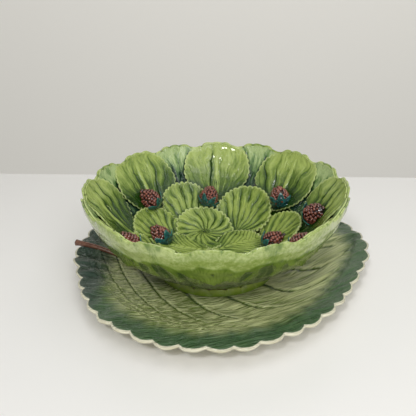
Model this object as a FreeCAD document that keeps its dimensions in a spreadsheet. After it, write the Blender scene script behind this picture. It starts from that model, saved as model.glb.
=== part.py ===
"""Leaf bowl with berries, standing on a leaf-shaped underplate: glazed earthenware tableware.

The origin is on the table at the middle of the plate's foot ring, +Z up. The bowl's axis is the Z axis.
The plate's stem lies towards -X and its leaf tip towards +X.

The bowl is a thin shell of revolution. Pressed leaves lie on its inner face like roof tiles, tier over
tier: back leaves, then rim leaves, then inner leaves, then heart leaves round the middle. Each leaf is
placed in the shell's own coordinates: an angle round the axis, a length along the wall from the centre,
and a height off it.
"""

import FreeCAD
import Part

import math
import os

import Sketcher
from FreeCAD import Placement, Rotation, Vector

doc = FreeCAD.newDocument("leaf_bowl")
sheet = doc.addObject("Spreadsheet::Sheet", "sizes")

SIZES = {
    # Bowl shell
    "rim_radius": 145.5,  # outside of the rim
    "bowl_height": 95.0,  # foot to the dips between the rim's lobes
    "shell_wall": 3.6,
    "floor_radius": 45.0,  # flat middle of the shell
    "corner_radius": 45.0,  # turn from floor to wall, outside
    "wall_start_slope": 26.0,  # degrees, where the corner ends
    "lobe_height": 6.0,  # rim lobes over their dips
    "lobe_phase": -2.0,  # degrees, first rim leaf from +Y
    # Bowl foot
    "foot_radius": 60.0,
    "foot_wall": 7.0,
    "foot_height": 4.0,  # seat to the underside of the shell's floor
    "frill_wall": 1.8,
    "frill_reach": 5.0,  # how far the frill's tips stand out from the foot
    "frill_flare": 2.4,  # how far its lower edge stands out past its tips
    "frill_scallop": 3.0,
    "frill_gap": 0.1,
    # Leaves
    "leaf_wall": 2.0,
    "layer_gap": 0.4,
    "rim_leaf_length": 78.0,
    "rim_leaf_spread": 19.0,  # degrees, half of the leaf at its widest
    "back_leaf_length": 68.0,
    "back_leaf_spread": 14.0,
    "inner_leaf_start": 62.0,  # along the wall from the centre
    "inner_leaf_inset": 62.6,  # its tip, down the wall from the rim leaves' tips
    "inner_leaf_spread": 26.0,
    "heart_leaf_start": 5.0,
    "heart_leaf_lap": 6.0,  # how far its tip passes the inner leaves' lower ends
    "first_heart_leaf_lap": 24.0,
    "heart_leaf_spread": 31.0,
    # Berries
    "berry_length": 28.0,
    "berry_radius": 10.4,
    "berry_axis": 3.5,  # a berry's axis over its flat back
    "calyx_wall": 1.2,
    "calyx_reach": 9.0,  # along the berry
    "calyx_gap": 0.1,
    # Plate
    "plate_radius": 166.0,
    "plate_wall": 5.0,
    "well_radius": 80.0,
    "plate_level_radius": 168.0,  # where the rim levels out
    "plate_rise": 15.0,  # well to rim
    "scallop_bulge": 2.6,
    "plate_foot_radius": 80.0,
    "plate_foot_wall": 6.0,
    "plate_foot_height": 4.0,
    "seat_gap": 0.2,  # plate well to bowl foot
    "stem_radius": 3.3,
    "stem_end_radius": 2.4,
    "stem_start": 170.0,  # from the axis
    "stem_end": 92.0,
}

for row, (alias, value) in enumerate(SIZES.items(), start=1):
    sheet.set(f"A{row}", alias)
    sheet.set(f"B{row}", str(value))
    sheet.setAlias(f"B{row}", alias)
doc.recompute()


def size(alias):
    return float(sheet.get(alias))


N_RIM_LEAVES = 8
N_LOBES = 2 * N_RIM_LEAVES
N_SCALLOPS = 42
N_FRILL_TIPS = 24

# Heart leaves round the middle, degrees from +X. The first is the large one.
HEART_ANGLES = [108.0, 172.0, 236.0, 300.0, 22.0]
# Inner leaves, degrees from +X, each lying over the next one's edge.
INNER_ANGLES = [155.0, 112.0, 64.0, 17.0, -29.0, -73.0, -117.0, -161.0]
# Berries: degrees from +X, a length along the wall, and the turn off the radial line. The length is down
# from the rim leaves' tips for the outer ones, and out from the centre for the inner ones.
OUTER_BERRIES = [
    (94, 78.6, -20), (142, 62.6, 20), (204, 64.6, -15), (246, 64.6, 15),
    (286, 64.6, -20), (328, 62.6, 15), (0, 50.6, -34), (39, 62.6, 43),
]  # fmt: skip
INNER_BERRIES = [(162, 78, -19), (3, 76, 0), (268, 76, 10)]
# The plate's leaf outline, as shares of plate_radius, every 15 degrees from +X.
PLATE_OUTLINE = [
    1.07, 1.105, 1.09, 1.05, 1.01, 1.00, 1.00, 1.005, 1.02, 1.03, 1.03, 1.01,
    0.99, 0.95, 0.97, 1.005, 1.025, 1.04, 1.04, 1.02, 0.99, 0.97, 0.955, 0.99,
]  # fmt: skip
STEM_ANGLES = (171.5, 176.0)  # outer end, inner end


# ---------------------------------------------------------------- shell profile

SEAT = size("plate_foot_height") + size("plate_wall")  # top of the plate's well
BOWL_BASE = SEAT + size("seat_gap")  # underside of the bowl's foot
FLOOR = BOWL_BASE + size("foot_height")  # underside of the shell's floor
RIM = BOWL_BASE + size("bowl_height")  # dips of the rim


def wall_arc():
    """The shell's outside above the corner: an arc tangent to the corner that ends at the rim.
    Returns its start point, its radius and its slopes at both ends, in radians."""
    start_slope = math.radians(size("wall_start_slope"))
    corner = size("corner_radius")
    r1 = size("floor_radius") + corner * math.sin(start_slope)
    z1 = FLOOR + corner * (1 - math.cos(start_slope))
    chord = math.atan2(RIM - z1, size("rim_radius") - r1)
    length = math.hypot(RIM - z1, size("rim_radius") - r1)
    radius = length / (2 * math.sin(chord - start_slope))
    return r1, z1, radius, start_slope, 2 * chord - start_slope


WALL_R, WALL_Z, WALL_RADIUS, WALL_START, WALL_END = wall_arc()
WALL_CENTRE = (WALL_R - WALL_RADIUS * math.sin(WALL_START), WALL_Z + WALL_RADIUS * math.cos(WALL_START))
CORNER_CENTRE = (size("floor_radius"), FLOOR + size("corner_radius"))


def bed(along, height=0.0):
    """Radius and height of a point on the shell's inner face, at a length along it from the centre,
    and raised off it by height."""
    wall = size("shell_wall")
    flat = size("floor_radius")
    corner = size("corner_radius") - wall
    corner_length = corner * WALL_START
    if along <= flat:
        slope, r, z = 0.0, along, FLOOR + wall
    elif along <= flat + corner_length:
        slope = (along - flat) / corner
        r = CORNER_CENTRE[0] + corner * math.sin(slope)
        z = CORNER_CENTRE[1] - corner * math.cos(slope)
    else:
        inner = WALL_RADIUS - wall
        slope = WALL_START + (along - flat - corner_length) / inner
        r = WALL_CENTRE[0] + inner * math.sin(slope)
        z = WALL_CENTRE[1] - inner * math.cos(slope)
    return r - height * math.sin(slope), z + height * math.cos(slope), slope


def bed_length(slope):
    """Length along the shell's inner face from the centre to where the wall has this slope, in radians."""
    wall = size("shell_wall")
    corner = (size("corner_radius") - wall) * WALL_START
    return size("floor_radius") + corner + (WALL_RADIUS - wall) * (slope - WALL_START)


def on_bed(angle, along, height):
    r, z, _ = bed(along, height)
    return Vector(r * math.cos(math.radians(angle)), r * math.sin(math.radians(angle)), z)


RIM_DIP = bed_length(WALL_END)
RIM_TOP = RIM_DIP + size("lobe_height") / math.sin(WALL_END)
RIM_LEAF_START = RIM_TOP - size("rim_leaf_length")


# ---------------------------------------------------------------- small helpers


def plane(body, role):
    return next(f for f in body.Origin.OriginFeatures if f.Role == role)


def new_body(label):
    body = doc.addObject("PartDesign::Body", label)
    body.Label = label
    return body


def new_sketch(body, name, role):
    sketch = body.newObject("Sketcher::SketchObject", name)
    sketch.AttachmentSupport = (plane(body, role), [""])
    sketch.MapMode = "FlatFace"
    return sketch


def revolve(body, sketch):
    feature = body.newObject("PartDesign::Revolution", sketch.Name + "_turn")
    feature.Profile = sketch
    feature.ReferenceAxis = (sketch, ["V_Axis"])
    feature.Angle = 360
    body.Tip = feature
    doc.recompute()
    return feature


def loose(label, shape):
    feature = doc.addObject("Part::Feature", label)
    feature.Label = label
    feature.Shape = shape
    return feature


def smooth(edge, low, high, value):
    """0 up to low, edge from high on and an even ease between them."""
    share = min(1.0, max(0.0, (value - low) / (high - low)))
    return edge * share * share * (3 - 2 * share)


# ---------------------------------------------------------------- bowl shell and foot


def arc_at(centre, radius, slope_a, slope_b):
    """The lower arc of a circle between two slopes, as sketch geometry."""
    circle = Part.Circle(Vector(centre[0], centre[1], 0), Vector(0, 0, 1), radius)
    return Part.ArcOfCircle(circle, slope_a - math.pi / 2, slope_b - math.pi / 2)


def polar(centre, radius, slope):
    return Vector(centre[0] + radius * math.sin(slope), centre[1] - radius * math.cos(slope), 0)


def make_shell():
    """The shell is turned a lobe's height over the dips, and the dips are cut from it."""
    body = new_body("bowl_shell")
    sketch = new_sketch(body, "shell_profile", "XZ_Plane")
    wall, flat, corner = size("shell_wall"), size("floor_radius"), size("corner_radius")
    top = WALL_END + 1.15 * size("lobe_height") / math.sin(WALL_END) / WALL_RADIUS
    inner_corner, inner_wall = corner - wall, WALL_RADIUS - wall
    points = {
        "axis_low": Vector(0, FLOOR, 0),
        "axis_high": Vector(0, FLOOR + wall, 0),
        "flat_low": Vector(flat, FLOOR, 0),
        "flat_high": Vector(flat, FLOOR + wall, 0),
        "rim_out": polar(WALL_CENTRE, WALL_RADIUS, top),
        "rim_in": polar(WALL_CENTRE, inner_wall, top),
    }
    axis, floor, out_corner, out_wall, edge, in_wall, in_corner, bed_floor = range(8)
    sketch.addGeometry(
        [
            Part.LineSegment(points["axis_high"], points["axis_low"]),
            Part.LineSegment(points["axis_low"], points["flat_low"]),
            arc_at(CORNER_CENTRE, corner, 0, WALL_START),
            arc_at(WALL_CENTRE, WALL_RADIUS, WALL_START, top),
            Part.LineSegment(points["rim_out"], points["rim_in"]),
            arc_at(WALL_CENTRE, inner_wall, WALL_START, top),
            arc_at(CORNER_CENTRE, inner_corner, 0, WALL_START),
            Part.LineSegment(points["flat_high"], points["axis_high"]),
        ]
    )
    joins = [
        (axis, 2, floor, 1), (floor, 2, out_corner, 1), (out_corner, 2, out_wall, 1),
        (out_wall, 2, edge, 1), (edge, 2, in_wall, 2), (in_wall, 1, in_corner, 2),
        (in_corner, 1, bed_floor, 1), (bed_floor, 2, axis, 1),
    ]  # fmt: skip
    for a, end_a, b, end_b in joins:
        sketch.addConstraint(Sketcher.Constraint("Coincident", a, end_a, b, end_b))
    for constraint in (
        Sketcher.Constraint("PointOnObject", floor, 1, -2),
        Sketcher.Constraint("Vertical", axis),
        Sketcher.Constraint("Horizontal", floor),
        Sketcher.Constraint("Horizontal", bed_floor),
        Sketcher.Constraint("Coincident", in_corner, 3, out_corner, 3),
        Sketcher.Constraint("Coincident", in_wall, 3, out_wall, 3),
    ):
        sketch.addConstraint(constraint)
    driven = {
        "floor_height": ("DistanceY", -1, 1, floor, 1, FLOOR),
        "flat": ("DistanceX", floor, 1, floor, 2, flat),
        "wall": ("DistanceY", axis, 2, axis, 1, wall),
    }
    for name, (kind, *rest) in driven.items():
        index = sketch.addConstraint(Sketcher.Constraint(kind, *rest))
        sketch.renameConstraint(index, name)
    index = sketch.addConstraint(Sketcher.Constraint("Radius", out_corner, corner))
    sketch.renameConstraint(index, "corner")
    sketch.setExpression("Constraints.flat", "sizes.floor_radius")
    sketch.setExpression("Constraints.wall", "sizes.shell_wall")
    sketch.setExpression("Constraints.corner", "sizes.corner_radius")
    sketch.setExpression(
        "Constraints.floor_height",
        "sizes.plate_foot_height + sizes.plate_wall + sizes.seat_gap + sizes.foot_height",
    )
    doc.recompute()
    revolve(body, sketch)

    # One dip: the space over two neighbouring lobes, each an arch, cut outwards through the wall.
    half = math.pi * size("rim_radius") / N_LOBES
    lobe = size("lobe_height")
    arch = (half * half + lobe * lobe) / (2 * lobe)
    reach = math.asin(half / arch)
    above = RIM + 2 * lobe
    cut = new_sketch(body, "dip_profile", "XZ_Plane")
    left = Part.Circle(Vector(-half, RIM + lobe - arch, 0), Vector(0, 0, 1), arch)
    right = Part.Circle(Vector(half, RIM + lobe - arch, 0), Vector(0, 0, 1), arch)
    cut.addGeometry(
        [
            Part.ArcOfCircle(left, math.pi / 2 - reach, math.pi / 2),
            Part.ArcOfCircle(right, math.pi / 2, math.pi / 2 + reach),
            Part.LineSegment(Vector(half, RIM + lobe, 0), Vector(half, above, 0)),
            Part.LineSegment(Vector(half, above, 0), Vector(-half, above, 0)),
            Part.LineSegment(Vector(-half, above, 0), Vector(-half, RIM + lobe, 0)),
        ]
    )
    for a, end_a, b, end_b in [(0, 1, 1, 2), (1, 1, 2, 1), (2, 2, 3, 1), (3, 2, 4, 1), (4, 2, 0, 2)]:
        cut.addConstraint(Sketcher.Constraint("Coincident", a, end_a, b, end_b))
    doc.recompute()
    before = body.Shape.Volume
    dip = body.newObject("PartDesign::Pocket", "dip")
    dip.Profile = cut
    dip.Type = "Length"
    dip.Length = 1.2 * size("rim_radius")
    dip.setExpression("Length", "sizes.rim_radius * 1.2")
    body.Tip = dip
    doc.recompute()
    if body.Shape.Volume > before - 1:
        dip.Reversed = True
        doc.recompute()
    assert body.Shape.Volume < before - 1, "the dip cut nothing"
    ring = body.newObject("PartDesign::PolarPattern", "dips")
    ring.Originals = [dip]
    ring.Axis = (plane(body, "Z_Axis"), [""])
    ring.Angle = 360
    ring.Occurrences = N_LOBES
    body.Tip = ring
    turn = 360.0 / N_LOBES / 2
    body.Placement = Placement(Vector(), Rotation(Vector(0, 0, 1), turn + size("lobe_phase")))
    body.setExpression("Placement.Rotation.Angle", f"{turn} deg + sizes.lobe_phase * 1 deg")
    doc.recompute()
    return body


def corner_height(radius):
    """Height of the shell's underside at a radius within its outer corner."""
    slope = math.asin((radius - size("floor_radius")) / size("corner_radius"))
    return CORNER_CENTRE[1] - size("corner_radius") * math.cos(slope)


def make_foot_ring():
    body = new_body("bowl_foot_ring")
    sketch = new_sketch(body, "foot_profile", "XZ_Plane")
    outer, flat = size("foot_radius"), size("floor_radius")
    inner = outer - size("foot_wall")
    slopes = [math.asin((r - flat) / size("corner_radius")) for r in (max(inner, flat), outer)]
    top_in, top_out = (polar(CORNER_CENTRE, size("corner_radius"), s) for s in slopes)
    low_in, low_out = Vector(inner, BOWL_BASE, 0), Vector(outer, BOWL_BASE, 0)
    profile = [
        Part.LineSegment(low_in, low_out),
        Part.LineSegment(low_out, top_out),
        arc_at(CORNER_CENTRE, size("corner_radius"), *slopes),
    ]
    joins = [(0, 2, 1, 1), (1, 2, 2, 2), (2, 1, 3, 1)]
    if inner < flat:  # a ring that reaches in under the shell's flat floor
        profile.append(Part.LineSegment(top_in, Vector(inner, FLOOR, 0)))
        joins.append((3, 2, 4, 1))
        top_in = Vector(inner, FLOOR, 0)
    profile.append(Part.LineSegment(top_in, low_in))
    inside = len(profile) - 1
    joins.append((inside, 2, 0, 1))
    sketch.addGeometry(profile)
    for a, end_a, b, end_b in joins:
        sketch.addConstraint(Sketcher.Constraint("Coincident", a, end_a, b, end_b))
    sketch.addConstraint(Sketcher.Constraint("Horizontal", 0))
    sketch.addConstraint(Sketcher.Constraint("Vertical", 1))
    sketch.addConstraint(Sketcher.Constraint("Vertical", inside))
    for name, index in {
        "outer": sketch.addConstraint(Sketcher.Constraint("DistanceX", -1, 1, 0, 2, outer)),
        "wall": sketch.addConstraint(Sketcher.Constraint("DistanceX", 0, 1, 0, 2, size("foot_wall"))),
        "base": sketch.addConstraint(Sketcher.Constraint("DistanceY", -1, 1, 0, 1, BOWL_BASE)),
        "corner": sketch.addConstraint(Sketcher.Constraint("Radius", 2, size("corner_radius"))),
        "corner_x": sketch.addConstraint(Sketcher.Constraint("DistanceX", -1, 1, 2, 3, CORNER_CENTRE[0])),
        "corner_z": sketch.addConstraint(Sketcher.Constraint("DistanceY", -1, 1, 2, 3, CORNER_CENTRE[1])),
    }.items():
        sketch.renameConstraint(index, name)
    base = "sizes.plate_foot_height + sizes.plate_wall + sizes.seat_gap"
    for name, cell in {
        "outer": "sizes.foot_radius",
        "wall": "sizes.foot_wall",
        "base": base,
        "corner": "sizes.corner_radius",
        "corner_x": "sizes.floor_radius",
        "corner_z": f"{base} + sizes.foot_height + sizes.corner_radius",
    }.items():
        sketch.setExpression(f"Constraints.{name}", cell)
    revolve(body, sketch)
    return body


def make_frill():
    """The skirt of small leaf tips round the foot, whose top edge is scalloped."""
    inner, wall, reach = size("foot_radius") + size("frill_gap"), size("frill_wall"), size("frill_reach")
    top = corner_height(size("foot_radius") + reach + wall) - wall
    band = Part.makePolygon(
        [
            Vector(inner, 0, BOWL_BASE),
            Vector(inner + reach + wall + size("frill_flare"), 0, BOWL_BASE),
            Vector(inner + reach + wall, 0, top),
            Vector(inner + reach, 0, top),
            Vector(inner, 0, BOWL_BASE),
        ]
    )
    ring = Part.Face(band).revolve(Vector(), Vector(0, 0, 1), 360)
    notch_radius = math.pi * inner / N_FRILL_TIPS * 0.35
    centre = Vector(inner - reach, 0, top + notch_radius - size("frill_scallop") * 0.5)
    notch = Part.makeCylinder(notch_radius, 3 * reach + wall, centre, Vector(1, 0, 0))
    cutters = []
    for i in range(N_FRILL_TIPS):
        cutter = notch.copy()
        cutter.rotate(Vector(), Vector(0, 0, 1), 360.0 * i / N_FRILL_TIPS)
        cutters.append(cutter)
    return loose("foot_frill", ring.cut(cutters))


# ---------------------------------------------------------------- leaves

GRID = 15  # points across and along each leaf face
ROUND = 0.42  # outline: 0 is a rectangle, 0.5 an ellipse
TAPER = 0.22  # how much narrower the tip end is than the base end
INNER_LEAF_END = RIM_TOP - size("inner_leaf_inset")
RISE_RUN = 18.2  # length over which an inner leaf rises onto the rim leaves
RISE_LEAD = 3.2  # how far below the rim leaves' lower ends it has risen
leaf_beds = []  # what cover() looks through, one entry a leaf


def outline_share(u, v):
    """A point of the square -1 to 1 moved onto the leaf's rounded outline."""
    return u * math.sqrt(1 - ROUND * v * v), v * math.sqrt(1 - ROUND * u * u)


def half_spread(spread, along):
    return spread * (1 - TAPER * (1 + along) / 2)


def leaf_solid(spread, start, end, lift):
    """A pressed leaf lying along +X: two smooth faces a leaf's wall apart, joined round the edge.
    lift(across, along) is the underside's height off the shell, for across and along from -1 to 1."""
    middle, half = (start + end) / 2, (end - start) / 2
    faces = []
    for extra in (0.0, size("leaf_wall")):
        rows = []
        for i in range(GRID):
            row = []
            for j in range(GRID):
                across, along = outline_share(-1 + 2 * j / (GRID - 1), -1 + 2 * i / (GRID - 1))
                height = size("layer_gap") + lift(across, along) + extra
                row.append(on_bed(half_spread(spread, along) * across, middle + half * along, height))
            rows.append(row)
        surface = Part.BSplineSurface()
        surface.interpolate(rows)
        faces.append(surface)
    bottom, top = faces
    sides = []
    for iso, at in (("uIso", 0), ("uIso", 1), ("vIso", 0), ("vIso", 1)):
        low, high = (getattr(face, iso)(at).toShape() for face in faces)
        sides.append(Part.makeRuledSurface(low, high))
    shell = Part.Shell([bottom.toShape(), top.toShape(), *sides])
    shell.sewShape()
    solid = Part.Solid(shell)
    if solid.Volume < 0:
        solid.reverse()
    return solid


def make_leaf(label, angle, spread, start, end, lift):
    feature = loose(label, leaf_solid(spread, start, end, lift))
    feature.Placement = Placement(Vector(), Rotation(Vector(0, 0, 1), angle))
    leaf_beds.append((angle, spread, start, end, lift))
    return feature


def layer():
    return size("leaf_wall") + size("layer_gap")


def back_lift(across, along):
    return 0.0


def rim_lift(across, along):
    """Down on the shell in the middle and at the tip, with both sides resting over the back leaves."""
    return smooth(layer(), 0.0, 0.40, abs(across)) * (1 - smooth(1.0, 0.72, 1.0, along))


def over_rim_leaves(start, end, along):
    """How far a leaf has risen to lie over the rim leaves' lower ends."""
    place = (start + end) / 2 + (end - start) / 2 * along
    raised = RIM_LEAF_START - RISE_LEAD
    return smooth(2 * layer(), raised - RISE_RUN, raised, place)


def inner_lift(across, along):
    """Each lies over the next one's side, and its tip over the rim leaves' lower ends."""
    rise = over_rim_leaves(size("inner_leaf_start"), INNER_LEAF_END, along)
    return smooth(layer(), 0.55, -0.55, across) + rise


def heart_lift(end):
    """Down at the middle of the bowl, with the tip over the inner leaves' lower ends."""

    def lift(across, along):
        rise = over_rim_leaves(size("heart_leaf_start"), end, along)
        return smooth(2 * layer(), -0.6, 0.36, along) + rise

    return lift


def make_leaves():
    leaves = []
    pitch = 360.0 / N_RIM_LEAVES
    first = 90.0 + size("lobe_phase")
    start, spread = RIM_TOP - size("back_leaf_length"), size("back_leaf_spread")
    for i in range(N_RIM_LEAVES):
        angle = first + pitch * (i + 0.5)
        leaves.append(make_leaf(f"back_leaf_{i + 1}", angle, spread, start, RIM_TOP, back_lift))
    spread = size("rim_leaf_spread")
    for i in range(N_RIM_LEAVES):
        angle = first + pitch * i
        leaves.append(make_leaf(f"rim_leaf_{i + 1}", angle, spread, RIM_LEAF_START, RIM_TOP, rim_lift))
    start, spread = size("inner_leaf_start"), size("inner_leaf_spread")
    for i, angle in enumerate(INNER_ANGLES):
        leaves.append(make_leaf(f"inner_leaf_{i + 1}", angle, spread, start, INNER_LEAF_END, inner_lift))
    start, spread = size("heart_leaf_start"), size("heart_leaf_spread")
    for i, angle in enumerate(HEART_ANGLES):
        lap = size("first_heart_leaf_lap") if i == 0 else size("heart_leaf_lap")
        end = size("inner_leaf_start") + lap
        leaves.append(make_leaf(f"heart_leaf_{i + 1}", angle, spread, start, end, heart_lift(end)))
    return leaves


def cover(angle, along):
    """Height of the topmost leaf's face off the shell at a place."""
    height = 0.0
    ratio = ROUND / (1 - ROUND)
    for leaf_angle, spread, start, end, lift in leaf_beds:
        y = (along - (start + end) / 2) / ((end - start) / 2)
        if abs(y) > 1.04:
            continue
        x = ((angle - leaf_angle + 180) % 360 - 180) / half_spread(spread, y)
        if x * x + ratio * y * y <= 1.08 and y * y + ratio * x * x <= 1.08:
            height = max(height, size("layer_gap") + lift(x, y) + size("leaf_wall"))
    return height


# ---------------------------------------------------------------- berries


def berry_solid():
    """A berry with a flat back on the XY plane, its tip towards +X."""
    half, radius, axis = size("berry_length") / 2, size("berry_radius"), size("berry_axis")
    ball = Part.makeSphere(radius)
    stretch = FreeCAD.Matrix()
    stretch.scale(half / radius, 1, 1)
    egg = ball.transformGeometry(stretch)
    egg.translate(Vector(0, 0, axis))
    below = Part.makeBox(3 * half, 3 * half, 3 * half, Vector(-1.5 * half, -1.5 * half, -3 * half))
    return egg.cut(below)


def calyx_solid():
    """A thin cap of pointed sepals over the berry's inner end."""
    half, radius, axis = size("berry_length") / 2, size("berry_radius"), size("berry_axis")
    wall, gap = size("calyx_wall"), size("calyx_gap")
    shells = []
    for extra in (gap + wall, gap):
        ball = Part.makeSphere(radius + extra)
        stretch = FreeCAD.Matrix()
        stretch.scale((half + extra) / (radius + extra), 1, 1)
        shells.append(ball.transformGeometry(stretch))
    cap = shells[0].cut(shells[1])
    reach = -half + size("calyx_reach")
    keep = Part.makeBox(2 * half, 4 * radius, 4 * radius, Vector(reach - 2 * half, -2 * radius, -2 * radius))
    cap = cap.common(keep)
    notch = Part.makeCone(0.0, 0.42 * radius, 1.5 * radius, Vector(), Vector(0, 0, 1))
    notches = []
    for i in range(5):
        wedge = notch.copy()
        wedge.translate(Vector(reach + 0.2, 0, 0))
        wedge.rotate(Vector(), Vector(1, 0, 0), 36 + 72 * i)
        notches.append(wedge)
    cap = cap.cut(notches)
    cap.translate(Vector(0, 0, axis))
    below = Part.makeBox(4 * half, 4 * half, 4 * half, Vector(-2 * half, -2 * half, -4 * half))
    return cap.cut(below)


def seat_on_leaves(angle, along, turn):
    """Placement of a berry whose flat back rests on the highest leaf under it."""
    r, z, slope = bed(along)
    a = math.radians(angle)
    outward = Vector(math.cos(slope) * math.cos(a), math.cos(slope) * math.sin(a), math.sin(slope))
    normal = Vector(-math.sin(slope) * math.cos(a), -math.sin(slope) * math.sin(a), math.cos(slope))
    side = normal.cross(outward)
    centre = on_bed(angle, along, 0)
    t = math.radians(turn)
    tip = outward * math.cos(t) + side * math.sin(t)
    flank = normal.cross(tip)
    top = 0.0
    half, radius = size("berry_length") / 2 + size("calyx_wall"), size("berry_radius")
    steps = 8
    for i in range(-steps, steps + 1):
        for j in range(-steps, steps + 1):
            if math.hypot(i, j) > steps + 0.5:
                continue
            spot = tip * (half * i / steps) + flank * (radius * j / steps)
            up = spot.dot(outward)
            round_ = math.degrees(spot.dot(side) / r)
            leaf = on_bed(angle + round_, along + up, cover(angle + round_, along + up))
            top = max(top, (leaf - centre).dot(normal))
    place = Placement(Vector(), Rotation(tip, flank, normal, "ZXY"))
    place.Base = centre + normal * (top + size("layer_gap"))
    return place


def make_berries():
    made = []
    berry, calyx = berry_solid(), calyx_solid()
    spots = [(angle, RIM_TOP - down, turn) for angle, down, turn in OUTER_BERRIES] + INNER_BERRIES
    for i, (angle, along, turn) in enumerate(spots):
        place = seat_on_leaves(angle, along, turn)
        for name, shape in (("berry", berry), ("calyx", calyx)):
            feature = loose(f"{name}_{i + 1}", shape.copy())
            feature.Placement = place
            made.append(feature)
    return made


# ---------------------------------------------------------------- plate


def plate_curve():
    """The plate rises from its well on one arc and levels out on an equal one.
    Returns their radius and their slope where they meet, in radians."""
    run = (size("plate_level_radius") - size("well_radius")) / 2
    rise = size("plate_rise") / 2
    return (run * run + rise * rise) / (2 * rise), 2 * math.atan2(rise, run)


PLATE_ARC, PLATE_SLOPE = plate_curve()


def plate_top(radius, height=0.0):
    """Radius and height of a point on the plate's top, raised off it by height."""
    well, level = size("well_radius"), size("plate_level_radius")
    if radius <= (well + level) / 2:
        slope = math.asin(max(0.0, radius - well) / PLATE_ARC)
        z = SEAT + PLATE_ARC * (1 - math.cos(slope))
    else:
        slope = math.asin(max(0.0, level - radius) / PLATE_ARC)
        z = SEAT + size("plate_rise") - PLATE_ARC * (1 - math.cos(slope))
    return radius - height * math.sin(slope), z + height * math.cos(slope)


def outline_radius(angle):
    """The plate's outline without its scallops: an even curve through PLATE_OUTLINE."""
    step = 360.0 / len(PLATE_OUTLINE)
    place = (angle % 360) / step
    i = int(place)
    t = place - i
    a, b, c, d = (PLATE_OUTLINE[(i + k) % len(PLATE_OUTLINE)] for k in (-1, 0, 1, 2))
    share = b + 0.5 * t * (c - a + t * (2 * a - 5 * b + 4 * c - d + t * (3 * (b - c) + d - a)))
    return share * size("plate_radius")


def make_plate():
    body = new_body("plate")
    sketch = new_sketch(body, "plate_profile", "XZ_Plane")
    well, wall = size("well_radius"), size("plate_wall")
    level, rise = size("plate_level_radius"), size("plate_rise")
    far = 1.2 * size("plate_radius")
    base = SEAT - wall
    valley, hill = (well, SEAT + PLATE_ARC), (level, SEAT + rise - PLATE_ARC)

    def hill_arc(radius):
        circle = Part.Circle(Vector(*hill, 0), Vector(0, 0, 1), radius)
        return Part.ArcOfCircle(circle, math.pi / 2, math.pi / 2 + PLATE_SLOPE)

    sketch.addGeometry(
        [
            Part.LineSegment(Vector(0, SEAT, 0), Vector(0, base, 0)),
            Part.LineSegment(Vector(0, base, 0), Vector(well, base, 0)),
            arc_at(valley, PLATE_ARC + wall, 0, PLATE_SLOPE),
            hill_arc(PLATE_ARC - wall),
            Part.LineSegment(Vector(level, base + rise, 0), Vector(far, base + rise, 0)),
            Part.LineSegment(Vector(far, base + rise, 0), Vector(far, SEAT + rise, 0)),
            Part.LineSegment(Vector(far, SEAT + rise, 0), Vector(level, SEAT + rise, 0)),
            hill_arc(PLATE_ARC),
            arc_at(valley, PLATE_ARC, 0, PLATE_SLOPE),
            Part.LineSegment(Vector(well, SEAT, 0), Vector(0, SEAT, 0)),
        ]
    )
    joins = [
        (0, 2, 1, 1), (1, 2, 2, 1), (2, 2, 3, 2), (3, 1, 4, 1), (4, 2, 5, 1),
        (5, 2, 6, 1), (6, 2, 7, 1), (7, 2, 8, 2), (8, 1, 9, 1), (9, 2, 0, 1),
    ]  # fmt: skip
    for a, end_a, b, end_b in joins:
        sketch.addConstraint(Sketcher.Constraint("Coincident", a, end_a, b, end_b))
    for constraint in (
        Sketcher.Constraint("PointOnObject", 1, 1, -2),
        Sketcher.Constraint("Vertical", 0),
        Sketcher.Constraint("Horizontal", 1),
        Sketcher.Constraint("Horizontal", 9),
        Sketcher.Constraint("Horizontal", 4),
        Sketcher.Constraint("Horizontal", 6),
        Sketcher.Constraint("Vertical", 5),
        Sketcher.Constraint("Coincident", 2, 3, 8, 3),
        Sketcher.Constraint("Coincident", 3, 3, 7, 3),
    ):
        sketch.addConstraint(constraint)
    for name, index in {
        "base": sketch.addConstraint(Sketcher.Constraint("DistanceY", -1, 1, 0, 2, base)),
        "well": sketch.addConstraint(Sketcher.Constraint("DistanceX", 1, 1, 1, 2, well)),
        "wall": sketch.addConstraint(Sketcher.Constraint("DistanceY", 0, 2, 0, 1, wall)),
    }.items():
        sketch.renameConstraint(index, name)
    sketch.setExpression("Constraints.base", "sizes.plate_foot_height")
    sketch.setExpression("Constraints.well", "sizes.well_radius")
    sketch.setExpression("Constraints.wall", "sizes.plate_wall")
    doc.recompute()
    revolve(body, sketch)

    # The leaf outline, one arc a scallop, with everything outside it cut away.
    trim = new_sketch(body, "plate_outline", "XY_Plane")
    corners, arcs = [], []
    for i in range(N_SCALLOPS):
        angle = 360.0 * i / N_SCALLOPS
        r = outline_radius(angle) - size("scallop_bulge")
        corners.append(Vector(r * math.cos(math.radians(angle)), r * math.sin(math.radians(angle)), 0))
    for i, corner in enumerate(corners):
        following = corners[(i + 1) % N_SCALLOPS]
        middle = (corner + following) * 0.5
        crest = middle + Vector(middle).normalize() * size("scallop_bulge")
        arcs.append(Part.Arc(corner, crest, following))
    trim.addGeometry(arcs)
    trim.addGeometry(Part.Circle(Vector(), Vector(0, 0, 1), 1.3 * size("plate_radius")))
    doc.recompute()
    cut = body.newObject("PartDesign::Pocket", "plate_trim")
    cut.Profile = trim
    cut.Type = "Length"
    cut.Length = 6 * size("plate_rise") + size("plate_foot_height")
    cut.setExpression("Length", "6 * sizes.plate_rise + sizes.plate_foot_height")
    cut.Reversed = True
    body.Tip = cut
    doc.recompute()
    return body


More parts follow.
